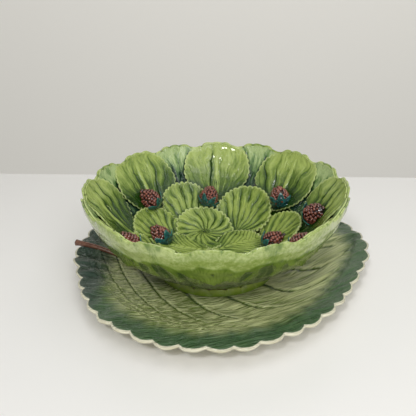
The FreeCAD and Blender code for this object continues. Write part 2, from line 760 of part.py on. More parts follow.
def make_plate_foot():
    body = new_body("plate_foot_ring")
    sketch = new_sketch(body, "plate_foot_profile", "XZ_Plane")
    outer, wall, height = size("plate_foot_radius"), size("plate_foot_wall"), size("plate_foot_height")
    corners = [(outer - wall, 0), (outer, 0), (outer, height), (outer - wall, height)]
    points = [Vector(x, y, 0) for x, y in corners]
    sketch.addGeometry([Part.LineSegment(points[i], points[(i + 1) % 4]) for i in range(4)])
    for i in range(4):
        sketch.addConstraint(Sketcher.Constraint("Coincident", i, 2, (i + 1) % 4, 1))
    sketch.addConstraint(Sketcher.Constraint("Horizontal", 0))
    sketch.addConstraint(Sketcher.Constraint("Horizontal", 2))
    sketch.addConstraint(Sketcher.Constraint("Vertical", 1))
    sketch.addConstraint(Sketcher.Constraint("Vertical", 3))
    sketch.addConstraint(Sketcher.Constraint("PointOnObject", 0, 1, -1))
    for cell, constraint in {
        "plate_foot_radius": Sketcher.Constraint("DistanceX", -1, 1, 0, 2, outer),
        "plate_foot_wall": Sketcher.Constraint("DistanceX", 0, 1, 0, 2, wall),
        "plate_foot_height": Sketcher.Constraint("DistanceY", 1, 1, 1, 2, height),
    }.items():
        sketch.renameConstraint(sketch.addConstraint(constraint), cell)
        sketch.setExpression(f"Constraints.{cell}", f"sizes.{cell}")
    revolve(body, sketch)
    return body


def make_stem():
    """A round stem lying on the plate, thicker towards its outer end, which stands past the rim."""
    n = 5
    circles = []
    spots = []
    for i in range(n):
        t = i / (n - 1)
        radius = size("stem_radius") + t * (size("stem_end_radius") - size("stem_radius"))
        along = size("stem_start") + t * (size("stem_end") - size("stem_start"))
        r, z = plate_top(along, radius + size("layer_gap"))
        a = math.radians(STEM_ANGLES[0] + t * (STEM_ANGLES[1] - STEM_ANGLES[0]))
        spots.append((Vector(r * math.cos(a), r * math.sin(a), z), radius))
    for i, (spot, radius) in enumerate(spots):
        ahead = spots[min(i + 1, n - 1)][0] - spots[max(i - 1, 0)][0]
        circles.append(Part.Wire(Part.Circle(spot, ahead, radius).toShape()))
    return loose("plate_stem", Part.makeLoft(circles, True))


def finish():
    """Stops on any failed object or bad shape, then writes each sub-part."""
    doc.recompute()
    for item in doc.Objects:
        bad = [state for state in item.State if state in ("Invalid", "Error")]
        assert not bad, f"{item.Label} is {bad}"
    os.makedirs("parts", exist_ok=True)
    for part in subparts:
        assert not part.Shape.isNull() and part.Shape.isValid(), f"{part.Label} has a bad shape"
        assert part.Shape.Volume > 0, f"{part.Label} is inside out"
        part.Shape.exportStep(f"parts/{part.Label}.step")


subparts = [make_shell(), make_foot_ring(), make_frill(), *make_leaves(), *make_berries()]
subparts += [make_plate(), make_plate_foot(), make_stem()]
finish()
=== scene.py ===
"""A glazed earthenware bowl of overlapping leaves with berries, loose on a leaf-shaped underplate.

Lengths in the modelling code are millimetres on the bowl's own axes, and each finished piece is
scaled to metres. A leaf is a grid pressed to a rounded outline, given its veins, and laid on the curve
of the bowl's inner face. Each vertex keeps how deep it lies in the relief, with painted shade added to
that, and how near the edge it is, and the glazes read both.
"""

import math

import bmesh
import bpy
from mathutils import Matrix, Vector, noise


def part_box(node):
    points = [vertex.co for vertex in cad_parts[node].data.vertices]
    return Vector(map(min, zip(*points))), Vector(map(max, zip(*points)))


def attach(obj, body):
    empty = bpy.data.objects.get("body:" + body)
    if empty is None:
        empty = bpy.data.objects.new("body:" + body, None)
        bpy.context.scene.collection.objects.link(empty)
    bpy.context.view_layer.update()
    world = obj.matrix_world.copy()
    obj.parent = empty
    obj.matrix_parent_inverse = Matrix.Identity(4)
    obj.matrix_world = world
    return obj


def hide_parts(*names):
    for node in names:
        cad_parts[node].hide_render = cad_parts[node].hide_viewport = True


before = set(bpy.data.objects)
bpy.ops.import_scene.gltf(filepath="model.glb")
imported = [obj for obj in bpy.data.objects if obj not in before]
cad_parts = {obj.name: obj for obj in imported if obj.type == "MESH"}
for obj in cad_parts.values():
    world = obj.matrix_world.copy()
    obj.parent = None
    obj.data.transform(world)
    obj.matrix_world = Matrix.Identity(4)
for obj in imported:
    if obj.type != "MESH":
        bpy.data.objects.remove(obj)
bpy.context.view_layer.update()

MM = 0.001


def box_mm(node):
    """Lowest and highest corner of a node, in millimetres."""
    low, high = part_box(node)
    return Vector(low) / MM, Vector(high) / MM


# ---------- the bowl's inner face

shell_low, shell_high = box_mm("bowl_shell")

SHELL_WALL = 3.6
FLOOR_RADIUS = 45.0  # of the flat floor's outer edge
CORNER = 45.0  # radius of the curve between floor and wall
WALL_START = math.radians(26.0)  # the slope at which the wall's own arc begins
LOBES = 16
LOBE_HEIGHT = 6.0  # of the rim's lobes over its dips
RIM_RADIUS = 145.5
LOBE_PHASE = math.radians(-2.0)  # the lobes' turn from +Y
FLOOR = shell_low.z
RIM = shell_high.z - LOBE_HEIGHT

corner_end = (FLOOR_RADIUS + CORNER * math.sin(WALL_START), FLOOR + CORNER * (1 - math.cos(WALL_START)))
wall_run, wall_rise = RIM_RADIUS - corner_end[0], RIM - corner_end[1]
chord = math.atan2(wall_rise, wall_run)
WALL_END = 2 * chord - WALL_START
WALL_ARC = math.hypot(wall_rise, wall_run) / (2 * math.sin(chord - WALL_START))
WALL_CENTRE = (
    corner_end[0] - WALL_ARC * math.sin(WALL_START),
    corner_end[1] + WALL_ARC * math.cos(WALL_START),
)


def wall_point(along, depth):
    """Radius, height and slope on the bowl's wall, at a length along it from the middle.
    depth is 0 on the outside and SHELL_WALL on the inner face."""
    corner = CORNER - depth
    wall = WALL_ARC - depth
    corner_length = corner * WALL_START
    if along <= FLOOR_RADIUS:
        return along, FLOOR + depth, 0.0
    if along <= FLOOR_RADIUS + corner_length:
        slope = (along - FLOOR_RADIUS) / corner
        return FLOOR_RADIUS + corner * math.sin(slope), FLOOR + CORNER - corner * math.cos(slope), slope
    slope = WALL_START + (along - FLOOR_RADIUS - corner_length) / wall
    return WALL_CENTRE[0] + wall * math.sin(slope), WALL_CENTRE[1] - wall * math.cos(slope), slope


def bed_at(radius):
    """Height and slope of the inner face at a radius."""
    corner = CORNER - SHELL_WALL
    if radius <= FLOOR_RADIUS:
        return FLOOR + SHELL_WALL, 0.0
    if radius <= FLOOR_RADIUS + corner * math.sin(WALL_START):
        slope = math.asin((radius - FLOOR_RADIUS) / corner)
        return FLOOR + CORNER - corner * math.cos(slope), slope
    wall = WALL_ARC - SHELL_WALL
    slope = math.asin(min(0.999, (radius - WALL_CENTRE[0]) / wall))
    return WALL_CENTRE[1] - wall * math.cos(slope), slope


def wall_length(slope, depth):
    return FLOOR_RADIUS + (CORNER - depth) * WALL_START + (WALL_ARC - depth) * (slope - WALL_START)


def along_at(radius):
    """Length along the inner face from the middle to a radius."""
    corner = CORNER - SHELL_WALL
    _, slope = bed_at(radius)
    if slope == 0.0:
        return radius
    if slope <= WALL_START:
        return FLOOR_RADIUS + corner * slope
    return wall_length(slope, SHELL_WALL)


RIM_DIP_ALONG = wall_length(WALL_END, SHELL_WALL)
LOBE_ALONG = LOBE_HEIGHT / math.sin(WALL_END)
RIM_TOP_ALONG = RIM_DIP_ALONG + LOBE_ALONG


def wall_at(slope, depth):
    """Radius and height on the bowl's wall where it has this slope."""
    if slope <= WALL_START:
        corner = CORNER - depth
        return FLOOR_RADIUS + corner * math.sin(slope), FLOOR + CORNER - corner * math.cos(slope)
    wall = WALL_ARC - depth
    return WALL_CENTRE[0] + wall * math.sin(slope), WALL_CENTRE[1] - wall * math.cos(slope)


LIP_WALL = 2.0  # the wall has thinned to this at the lip
FRONT_SAG = 6.5  # how far the rim's front has sunk along the wall, as a hand-finished rim does
NOTCHES = 64  # small notches round the whole rim
NOTCH_DEPTH = 1.9


def front_share(turn):
    """1 at the rim's front, towards -Y, and 0 round the sides and back."""
    return ease(0.45, 0.95, -math.sin(turn))


def rim_sag(turn):
    """How far the rim has sunk along the wall at an angle."""
    return FRONT_SAG * front_share(turn)


def rim_notch(turn):
    """1 at the bottom of a notch in the lip, 0 on the rounded tooth beside it."""
    wave = turn - math.pi / 2 - LOBE_PHASE + 0.02 * wobble(turn * 6, 0, 4)
    return 1 - abs(math.cos(wave * NOTCHES / 2)) ** 0.5


def lobe_rise(turn):
    """How far the rim stands over its dips at an angle, along the wall."""
    pitch = 2 * math.pi / LOBES
    share = abs(2 * (((turn - math.pi / 2 - LOBE_PHASE) / pitch + 0.5) % 1.0 - 0.5))
    lobe = 0.5 * (1 - share**2) + 0.5 * (1 - ease(0.5, 0.95, share))
    notch = (NOTCH_DEPTH + 1.8 * wobble(turn * 14, 0, 6)) * rim_notch(turn)
    front = 1.5 * front_share(turn) * share**2
    return LOBE_ALONG * lobe - notch + 0.7 * wobble(turn * 9, 0, 5) - 0.8 - rim_sag(turn) - front


def lip_along(turn):
    """Length along the inner face from the middle to the lip."""
    return RIM_DIP_ALONG + lobe_rise(turn)


def ease(low, high, value):
    share = min(1.0, max(0.0, (value - low) / (high - low)))
    return share * share * (3 - 2 * share)


def bump(x, width):
    return math.exp(-((x / width) ** 2))


def wobble(x, y, seed, size=1.0):
    """Smooth irregularity between about -1 and 1."""
    return noise.noise(Vector((x / size, y / size, seed * 7.31)))


# ---------- pieces

SEAM = 0.01  # where a sheet closes on itself, vertices nearer than this become one


def new_grid(columns, rows):
    bm = bmesh.new()
    bmesh.ops.create_grid(bm, x_segments=columns, y_segments=rows, size=1.0)
    return bm


def close_seam(bm):
    bmesh.ops.remove_doubles(bm, verts=bm.verts, dist=SEAM)


def float_layers(bm, *names):
    """New values kept on every vertex, which the finishes read by name."""
    return [bm.verts.layers.float.new(name) for name in names]


def in_scene(name, data):
    """A new object in the scene that shows a mesh, a light or a camera."""
    thing = bpy.data.objects.new(name, data)
    bpy.context.scene.collection.objects.link(thing)
    return thing


def mesh_object(bm, name, material):
    """A new object from a bmesh, which is freed."""
    mesh = bpy.data.meshes.new(name)
    bm.to_mesh(mesh)
    bm.free()
    mesh.materials.append(material)
    return in_scene(name, mesh)


def turned(x, y, angle):
    """A point turned about the origin by an angle in radians."""
    return x * math.cos(angle) - y * math.sin(angle), x * math.sin(angle) + y * math.cos(angle)


def finish_piece(bm, name, body, nodes, material, wall=0.0, under=None):
    """Turns a bmesh in millimetres into a piece riding on a body.
    under is the finish of a walled piece's back."""
    bmesh.ops.scale(bm, vec=(MM, MM, MM), verts=bm.verts)
    for face in bm.faces:
        face.smooth = True
    piece = mesh_object(bm, name, material)
    if wall:
        solid = piece.modifiers.new("wall", "SOLIDIFY")
        solid.thickness = wall * MM
        solid.offset = -1.0
        if under:
            piece.data.materials.append(under)
            solid.material_offset = 1
            solid.material_offset_rim = 1
    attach(piece, body)
    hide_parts(*nodes)
    return piece


def disc(u, v):
    """A point of the square -1 to 1 moved onto the unit disc.
    Returned as its distance from the middle and its turn from +Y."""
    p = u * math.sqrt(1 - v * v / 2)
    q = v * math.sqrt(1 - u * u / 2)
    return min(1.0, math.hypot(p, q)), math.atan2(p, q)


# ---------- finishes


class Signal:
    """A socket of a finish's node tree. Arithmetic on it adds Math nodes."""

    def __init__(self, tree, socket):
        self.tree = tree
        self.socket = socket

    def _maths(self, operation, *values):
        node = self.tree.nodes.new("ShaderNodeMath")
        node.operation = operation
        for socket, value in zip(node.inputs, values):
            plug(self.tree, socket, value)
        return Signal(self.tree, node.outputs[0])

    def __add__(self, other):
        return self._maths("ADD", self, other)

    __radd__ = __add__

    def __sub__(self, other):
        return self._maths("SUBTRACT", self, other)

    def __rsub__(self, other):
        return self._maths("SUBTRACT", other, self)

    def __mul__(self, other):
        return self._maths("MULTIPLY", self, other)

    def __pow__(self, other):
        return self._maths("POWER", self, other)


def plug(tree, socket, value):
    """Links a signal to a socket, or sets the socket to a plain value."""
    if isinstance(value, Signal):
        tree.links.new(value.socket, socket)
    else:
        socket.default_value = value


class Finish:
    """One material on a Principled shader, with helpers that add nodes to it."""

    def __init__(self, name, **constants):
        self.material = bpy.data.materials.new(name)
        self.material.use_nodes = True
        self.tree = self.material.node_tree
        self.shader = next(n for n in self.tree.nodes if n.type == "BSDF_PRINCIPLED")
        for key, value in constants.items():
            self.shader.inputs[key.replace("_", " ").title().replace("Ior", "IOR")].default_value = value
        self.place = self.node("ShaderNodeTexCoord", output="Object")

    def node(self, kind, settings=None, inputs=None, output=0):
        """Adds a node, sets it up, then fills its sockets. Returns one of its outputs."""
        node = self.tree.nodes.new(kind)
        for key, value in (settings or {}).items():
            if key == "stops":
                self.fill_ramp(node.color_ramp, value)
            else:
                setattr(node, key, value)
        for key, value in (inputs or {}).items():
            plug(self.tree, node.inputs[key], value)
        return Signal(self.tree, node.outputs[output])

    @staticmethod
    def fill_ramp(ramp, stops):
        while len(ramp.elements) < len(stops):
            ramp.elements.new(0.5)
        for element, (position, colour) in zip(ramp.elements, stops):
            element.position = position
            element.color = colour

    def attribute(self, name):
        return self.node("ShaderNodeAttribute", {"attribute_name": name}, output="Fac")

    def mix(self, factor, a, b):
        """From colour a to colour b."""
        return self.node("ShaderNodeMix", {"data_type": "RGBA"}, {0: factor, 6: a, 7: b}, output=2)

    def noise(self, scale, detail=2.0, rough=0.5, place=None):
        inputs = {"Vector": place or self.place, "Scale": scale, "Detail": detail, "Roughness": rough}
        return self.node("ShaderNodeTexNoise", inputs=inputs, output="Fac")

    def fibres(self, across, along):
        """Noise drawn out along a piece's veins, from its own attributes."""
        place = self.node("ShaderNodeCombineXYZ", inputs={0: across, 1: along})
        return self.noise(1.0, 3.0, 0.6, place)

    def crevice_shade(self, reach):
        """Painted shade, also standing for glaze pooled there: 1 where other surfaces come close within a
        reach in millimetres, 0 in the open.
        """
        inputs = {"Distance": reach * MM}
        return 1.0 - self.node("ShaderNodeAmbientOcclusion", {"samples": 4}, inputs, output="AO")

    def steps(self, value, low, high):
        """0 below low, 1 above high."""
        inputs = {"Value": value, "From Min": low, "From Max": high}
        return self.node("ShaderNodeMapRange", {"interpolation_type": "SMOOTHSTEP"}, inputs)

    def colour(self, value):
        plug(self.tree, self.shader.inputs["Base Color"], value)

    def roughness(self, value):
        plug(self.tree, self.shader.inputs["Roughness"], value)

    def relief(self, height, distance, strength=1.0):
        inputs = {"Height": height, "Distance": distance * MM, "Strength": strength}
        bumped = self.node("ShaderNodeBump", inputs=inputs)
        self.tree.links.new(bumped.socket, self.shader.inputs["Normal"])


def rgb(red, green, blue):
    """A colour given as display values 0 to 255, as a linear one."""
    linear = [((c / 255 + 0.055) / 1.055) ** 2.4 if c > 10 else c / 255 / 12.92 for c in (red, green, blue)]
    return (*linear, 1.0)


IVORY = rgb(226, 222, 196)


def leaf_glaze(name, mid, pale, dark, edge_colour):
    """Translucent green glaze: dark where it pools in the relief, with painted shade towards each leaf's
    base and where other pieces come close, pale on ribs and edges.
    """
    glaze = Finish(name, roughness=0.2, ior=1.42, coat_weight=0.3, coat_roughness=0.05)
    pool, edge, rib = glaze.attribute("pool"), glaze.attribute("edge"), glaze.attribute("rib")
    drift = glaze.noise(34.0, 3.0)
    fine = glaze.noise(420.0, 3.0, 0.6)
    fibre = glaze.fibres(rib * 1.6, edge * 4.0)
    # glaze pooled in the relief, plus painted shade where other pieces come close and towards the leaf's
    # base
    glaze_depth_and_shade = pool + glaze.crevice_shade(9.0) * 1.3 + (fine - 0.5) * 0.35 + (drift - 0.5) * 1.3
    ridge = glaze.steps(fibre * 1.3 - glaze_depth_and_shade * 0.8, 0.15, 1.0)
    tone = glaze.mix(ridge, mid, pale)
    tone = glaze.mix(glaze.steps(glaze_depth_and_shade, 0.2, 0.95), tone, dark)
    rim = glaze.steps(edge + (fine - 0.5) * 0.08 - pool * 0.03, 0.94, 0.985)
    glaze.colour(glaze.mix(rim * 0.75, tone, edge_colour))
    glaze.roughness(0.1 + fine * 0.12)
    glaze.relief(fibre * 1.2 + glaze.noise(620.0, 3.0, 0.6) * 0.4, 1.6, 0.9)
    return glaze.material


LEAF_EDGE = rgb(186, 200, 128)
rim_glaze = leaf_glaze("rim_leaf_glaze", rgb(92, 120, 36), rgb(164, 182, 96), rgb(30, 62, 8), LEAF_EDGE)
back_glaze = leaf_glaze("back_leaf_glaze", rgb(80, 120, 54), rgb(172, 192, 130), rgb(6, 48, 28), LEAF_EDGE)
inner_glaze = leaf_glaze("inner_leaf_glaze", rgb(84, 112, 30), rgb(154, 172, 82), rgb(28, 58, 6), LEAF_EDGE)


def shell_glaze():
    """The bowl's outside: olive green with dark streaks, and a pale yellow-green band along the lip;
    painted shade darkens it low down under the overhanging wall and where other pieces come close.
    """
    glaze = Finish("shell_glaze", roughness=0.2, ior=1.5, coat_weight=0.4, coat_roughness=0.06)
    pool, lip, rib = glaze.attribute("pool"), glaze.attribute("lip"), glaze.attribute("rib")
    drift = glaze.noise(30.0, 3.0)
    fine = glaze.noise(300.0, 3.0, 0.65)
    speck = glaze.steps(glaze.noise(95.0, 2.0), 0.7, 0.74)
    fibre = glaze.fibres(rib * 2.2, glaze.attribute("up"))
    light = glaze.steps(fibre * 0.7 + drift * 0.9, 0.55, 1.05)
    tone = glaze.mix(light, rgb(82, 106, 24), rgb(132, 154, 62))
    glaze_depth_and_shade = pool + glaze.crevice_shade(6.0) * 0.7 + (fibre - 0.5) * 1.3 + (drift - 0.5) * 0.8
    tone = glaze.mix(glaze.steps(glaze_depth_and_shade, 0.25, 0.9), tone, rgb(36, 66, 6))
    band = glaze.mix(glaze.steps(fine + drift - 0.5, 0.25, 0.75), rgb(138, 158, 74), rgb(184, 198, 126))
    band = glaze.mix(speck * 0.7, band, rgb(58, 96, 36))
    band = glaze.mix(glaze.steps(pool + (fibre - 0.5) * 0.8, 0.3, 0.9) * 0.75, band, rgb(74, 110, 30))
    glaze.colour(glaze.mix(glaze.steps(lip + (drift - 0.5) * 0.6, 0.3, 0.8), tone, band))
    glaze.roughness(0.12 + fine * 0.1)
    glaze.relief(fibre * 0.6 + fine * 0.6, 0.8, 0.6)
    return glaze.material


def frill_glaze():
    """Bright yellow-green, darker towards its lower edge."""
    glaze = Finish("frill_glaze", roughness=0.22, ior=1.5, coat_weight=0.4, coat_roughness=0.06)
    fine = glaze.noise(260.0, 3.0, 0.6)
    tone = glaze.mix(glaze.attribute("edge") ** 1.5, rgb(98, 124, 22), rgb(168, 186, 68))
    glaze.colour(glaze.mix(glaze.steps(fine, 0.5, 0.8) * 0.5, tone, rgb(78, 110, 18)))
    glaze.relief(fine, 0.4, 0.5)
    return glaze.material


def berry_glaze():
    """Red brown, pinkish on the crown of each drupelet as a painted highlight, and near black between them
    in painted shade.
    """
    glaze = Finish("berry_glaze", roughness=0.18, ior=1.5, coat_weight=0.9, coat_roughness=0.05)
    pool = glaze.attribute("pool")
    drift = glaze.noise(160.0, 2.0)
    # the colour of the drupelets' tops, where the painted highlight falls
    crown_highlight = glaze.mix(glaze.steps(drift, 0.35, 0.7), rgb(98, 42, 30), rgb(150, 84, 66))
    tone = glaze.mix(glaze.steps(pool, 0.0, 0.45), crown_highlight, rgb(72, 26, 18))
    glaze.colour(glaze.mix(glaze.steps(pool + glaze.crevice_shade(2.5) * 0.5, 0.4, 0.95), tone, rgb(30, 8, 6)))
    glaze.roughness(0.14 + drift * 0.16)
    return glaze.material


def calyx_glaze():
    glaze = Finish("calyx_glaze", roughness=0.16, ior=1.5, coat_weight=0.9, coat_roughness=0.05)
    fine = glaze.noise(300.0, 3.0, 0.6)
    tone = glaze.mix(glaze.steps(fine, 0.35, 0.75), rgb(6, 44, 52), rgb(26, 98, 96))
    glaze.colour(glaze.mix(glaze.steps(glaze.attribute("edge"), 0.75, 1.0) * 0.6, tone, rgb(40, 118, 104)))
    glaze.relief(fine, 0.5, 0.6)
    return glaze.material


def plate_glaze():
    """Olive in the middle, running into a blue-green border with a thin ivory edge."""
    glaze = Finish("plate_glaze", roughness=0.24, ior=1.5, coat_weight=0.35, coat_roughness=0.08)
    pool, border, rib = glaze.attribute("pool"), glaze.attribute("border"), glaze.attribute("rib")
    edge, base = glaze.attribute("edge"), glaze.attribute("leaf_base")
    drift = glaze.noise(22.0, 4.0)
    fine = glaze.noise(260.0, 4.0, 0.65)
    fibre = glaze.fibres(rib, glaze.attribute("span"))
    light = glaze.steps(fibre * 1.8 + (drift - 0.5) * 0.7 - pool * 0.6, 0.55, 1.15)
    tone = glaze.mix(light, rgb(112, 132, 60), rgb(200, 206, 146))
    streak = glaze.steps(fibre + (fine - 0.5) * 0.5, 0.45, 0.9) * 0.5
    rim = glaze.mix(streak, rgb(58, 90, 52), rgb(116, 140, 96))
    tone = glaze.mix(glaze.steps(border + (drift - 0.5) * 0.3 + (fibre - 0.5) * 0.5, 0.2, 1.0), tone, rim)
    tone = glaze.mix(glaze.steps(base + (drift - 0.5) * 0.3, 0.25, 0.9) * 0.8, tone, rgb(48, 68, 62))
    tone = glaze.mix(glaze.steps(pool + (0.5 - fibre) * 0.8, 0.3, 1.0) * 0.85, tone, rgb(34, 56, 30))
    glaze.colour(glaze.mix(glaze.steps(edge + (fine - 0.5) * 0.006, 0.986, 0.992), tone, IVORY))
    glaze.roughness(0.14 + fine * 0.16)
    glaze.relief(fibre * 1.6 + fine * 0.15, 3.0, 1.0)
    return glaze.material


def ivory_glaze():
    glaze = Finish("ivory_glaze", roughness=0.25, ior=1.5, coat_weight=0.6, coat_roughness=0.08)
    drift = glaze.noise(60.0, 3.0)
    glaze.colour(glaze.mix(glaze.steps(drift, 0.4, 0.7), IVORY, rgb(206, 200, 168)))
    glaze.relief(glaze.noise(500.0, 2.0), 0.2, 0.4)
    return glaze.material


def stem_glaze():
    glaze = Finish("stem_glaze", roughness=0.25, ior=1.5, coat_weight=0.35, coat_roughness=0.08)
    groove = glaze.attribute("pool")
    fine = glaze.noise(300.0, 3.0, 0.6)
    tone = glaze.mix(glaze.steps(fine, 0.35, 0.7), rgb(104, 66, 50), rgb(138, 96, 76))
    glaze.colour(glaze.mix(glaze.steps(groove, 0.3, 0.9) * 0.8, tone, rgb(56, 30, 24)))
    glaze.relief(fine, 0.4, 0.6)
    return glaze.material


def bare_clay():
    """The unglazed foot rings: pale fired clay, fine grained, a little darker where it has rubbed."""
    clay = Finish("bare_clay", roughness=0.8, ior=1.45)
    grain = clay.noise(900.0, 4.0, 0.7)
    rubbed = clay.noise(45.0, 3.0)
    tone = clay.mix(clay.steps(grain, 0.3, 0.75), rgb(206, 190, 158), rgb(226, 214, 188))
    clay.colour(clay.mix(clay.steps(rubbed, 0.5, 0.75) * 0.4, tone, rgb(168, 150, 120)))
    clay.roughness(0.72 + grain * 0.2)
    clay.relief(grain, 0.15, 0.6)
    return clay.material


# ---------- leaves


def fan_veins(x, y, length, ribs):
    """Ribs spreading from the leaf's base. Returns a phase that grows by 1 from rib to rib."""
    reach = math.hypot(x, y + 0.06 * length) / length
    return ribs * math.atan2(abs(x), y + 0.06 * length) * (1 + 0.12 * reach) / 1.7


def whorl_veins(x, y, length, ribs):
    """Ribs spreading every way from a point inside the leaf and bending with it."""
    y -= 0.5 * length
    reach = math.hypot(x, y) / length
    return ribs * (math.atan2(x, -y) / (2 * math.pi) + 0.22 * reach) * 2


def side_veins(x, y, length, ribs):
    """Ribs leaving a midrib in turn and bending up towards the tip."""
    side = abs(x)
    return 2 + ribs * (y / length - 1.25 * side / length + 0.45 * (side / length) ** 2)


def steep_veins(x, y, length, ribs):
    """Ribs rising steeply from the midrib and the base, nearly fanned."""
    fan = math.atan2(abs(x), y + 0.16 * length)
    return ribs * (fan * 0.95 + 0.16 * math.hypot(x, y) / length)


def press_veins(phase, width):
    """1 in the groove at each whole phase, falling to 0 between grooves."""
    part = phase % 1.0
    return bump(min(part, 1 - part), width)


def leaf_surface(bm, plan, place):
    """Moves a grid onto a leaf: outline, veins and curl from plan, then place(x, y, height) in the bowl."""
    pool, edge, rib = float_layers(bm, "pool", "edge", "rib")
    half, length = plan["half_width"], plan["length"]
    for vert in bm.verts:
        out, turn = disc(vert.co.x, vert.co.y)
        bearing_x, bearing_y = math.sin(turn), math.cos(turn)
        power = 2.0 / plan["blunt"] if bearing_y > 0 else 1.0
        narrow = 1 - plan["narrow"] * max(0.0, -bearing_y) ** 1.5
        edge_x = half * math.copysign(abs(bearing_x) ** power, bearing_x) * narrow
        edge_y = length / 2 * math.copysign(abs(bearing_y) ** power, bearing_y)
        tooth = abs(math.sin(turn * plan["teeth"] / 2)) ** 0.7 - 0.7
        ragged = 1.6 * wobble(turn * 2.5, 0, plan["seed"])
        margin = (plan["tooth"] * tooth + ragged) * out**5 / max(half, length / 2)
        x = edge_x * out * (1 + margin)
        y = length / 2 + edge_y * out * (1 + margin)
        phase = plan["veins"](x, y, length, plan["ribs"])
        phase += 0.34 * wobble(x, y, plan["seed"], 17.0) + 0.1 * wobble(x, y, plan["seed"] + 9, 6.0)
        uneven = wobble(math.floor(phase + 0.5) * 1.7, 3.0 * (x > 0), plan["seed"])
        strength = min(1.15, max(0.0, plan["steady"] + plan["uneven"] * uneven))
        groove = press_veins(phase, plan["groove"]) * strength
        pooled = press_veins(phase, 1.8 * plan["groove"]) * strength
        fork = press_veins(2 * phase + 0.5, 1.6 * plan["groove"])
        near_edge = ease(0.5, 0.95, out)
        tip = ease(0.6, 1.0, y / length)
        fade = ease(0.0, 0.2 * length, y) * (1 - 0.5 * ease(0.8, 1.0, out)) * (1 - 0.45 * tip)
        crest = press_veins(phase + 0.5, 0.07) * plan["crest"] * fade * (1 - near_edge)
        stalk = bump(x, 1.2 + 0.016 * (length - y)) * (1 - ease(0.7, 0.95, y / length))
        beside = bump(abs(x) - 3.4, 1.4) * (1 - near_edge)
        height = plan["relief"] * fade * (0.35 - groove - 0.45 * fork * near_edge)
        height += plan["midrib"] * (stalk - 0.3 * beside) + 0.5 * crest
        height += plan["cup"] * out**2.5 * (1 - plan["flat_tip"] * tip)
        height += plan["wave"] * out**3 * math.sin(3 * turn + plan["seed"])
        height += 1.1 * wobble(x, y, plan["seed"] + 3, 12.0) * (1 - 0.5 * near_edge)
        vert.co = place(x, y, height + plan["lift"](x / half, y / length))
        hollow = 0.9 * pooled * fade + 0.4 * fork * near_edge * fade - 0.6 * crest
        hollow += plan["midrib"] * (0.15 * beside - 0.8 * stalk) + plan.get("tint", 0.0)
        # painted shade and light from the plan's shade, darker towards the base and lighter towards the tip
        # or edges, added to the glaze pooled in the relief
        vert[pool] = min(1.0, max(-0.6, hollow + plan["shade"](x / half, y / length, out)))
        vert[edge] = out
        vert[rib] = 3 * phase


RIM_CLEAR = 0.8  # of bare lip beyond a leaf that reaches the rim
RIM_SOFT = 4.0  # such a leaf's edge follows the lip from this far below it
RIM_SETTLE = 28.0  # and it sinks to the wall over this length
RIM_FLOAT = 0.3  # which leaves it this far off the wall at the lip


def ring_place(angle, start, length=None):
    """Lays a leaf on the bowl's wall, bending it round the bowl's axis.
    A length given means that it reaches the rim."""

    def place(x, y, height):
        along = start + y
        turn = math.radians(angle) + x / max(wall_point(along, SHELL_WALL)[0], 20.0)
        if length:
            along -= rim_sag(turn) * ease(0.3, 1.0, y / length)
            limit = lip_along(turn) - RIM_CLEAR
            past = along - (limit - RIM_SOFT)
            if past > 0:
                along = limit - RIM_SOFT * math.exp(-past / RIM_SOFT)
            height = RIM_FLOAT + height * ease(limit, limit - RIM_SETTLE, along)
        r, z, slope = wall_point(along, SHELL_WALL)
        r, z = r - height * math.sin(slope), z + height * math.cos(slope)
        return Vector((r * math.cos(turn), r * math.sin(turn), z))

    return place


def plan_place(angle, start, root):
    """Lays a leaf over the bowl's middle along a straight line seen from above."""
    a = math.radians(angle)
    along, side = Vector((math.cos(a), math.sin(a), 0)), Vector((-math.sin(a), math.cos(a), 0))

    def place(x, y, height):
        spot = Vector((*root, 0)) + along * (start + y) + side * x
        reach = math.hypot(spot.x, spot.y)
        z, slope = bed_at(reach)
        out = spot / reach if reach > 1e-6 else Vector((0, 0, 0))
        spot -= out * height * math.sin(slope)
        return Vector((spot.x, spot.y, z + height * math.cos(slope)))

    return place


LEAF_CELLS = 92
BACK_LEAF_CELLS = 80
LEAF_WALL = 2.4
RIM_LEAF_WALL = 1.6


def make_leaf(name, place, plan, material, cells=LEAF_CELLS, wall=LEAF_WALL):
    bm = new_grid(cells, cells)
    leaf_surface(bm, plan, place)
    finish_piece(bm, name + "_glazed", "bowl", [name], material, wall)


# Each tier of leaves: its outline, veins and curl, how deep its glaze lies, its painted shade and light
# (darker towards the base, lighter towards the tip or edges), and its lift off the wall.
rim_plan = {
    "half_width": 46.0, "length": 85.0, "blunt": 2.35, "narrow": 0.3,
    "teeth": 38, "tooth": 1.8, "flat_tip": 1.0,
    "veins": steep_veins, "ribs": 5.0, "groove": 0.07, "relief": 1.3, "midrib": 0.9, "cup": 1.6,
    "wave": 0.9, "steady": 0.4, "uneven": 2.2, "crest": 0.8,
    "shade": lambda x, y, out: 0.75 * (1 - ease(0.05, 0.7, y)) - 0.55 * ease(0.5, 0.95, y),
    "lift": lambda x, y: 2.4 + 1.6 * ease(0.1, 0.5, abs(x)) * (1 - ease(0.7, 1, y)),
}  # fmt: skip
back_plan = {
    "half_width": 42.0, "length": 78.0, "blunt": 2.3, "narrow": 0.35,
    "teeth": 30, "tooth": 2.4, "flat_tip": 1.0,
    "veins": fan_veins, "ribs": 7.0, "groove": 0.11, "relief": 2.0, "midrib": 0.5, "cup": 0.6, "wave": 0.6,
    "steady": 0.75, "uneven": 0.8, "crest": 0.5,
    "shade": lambda x, y, out: 0.7 * (1 - ease(0.3, 0.75, y)) - 0.5 * ease(0.65, 0.95, y),
    "lift": lambda x, y: 1.6,
}  # fmt: skip
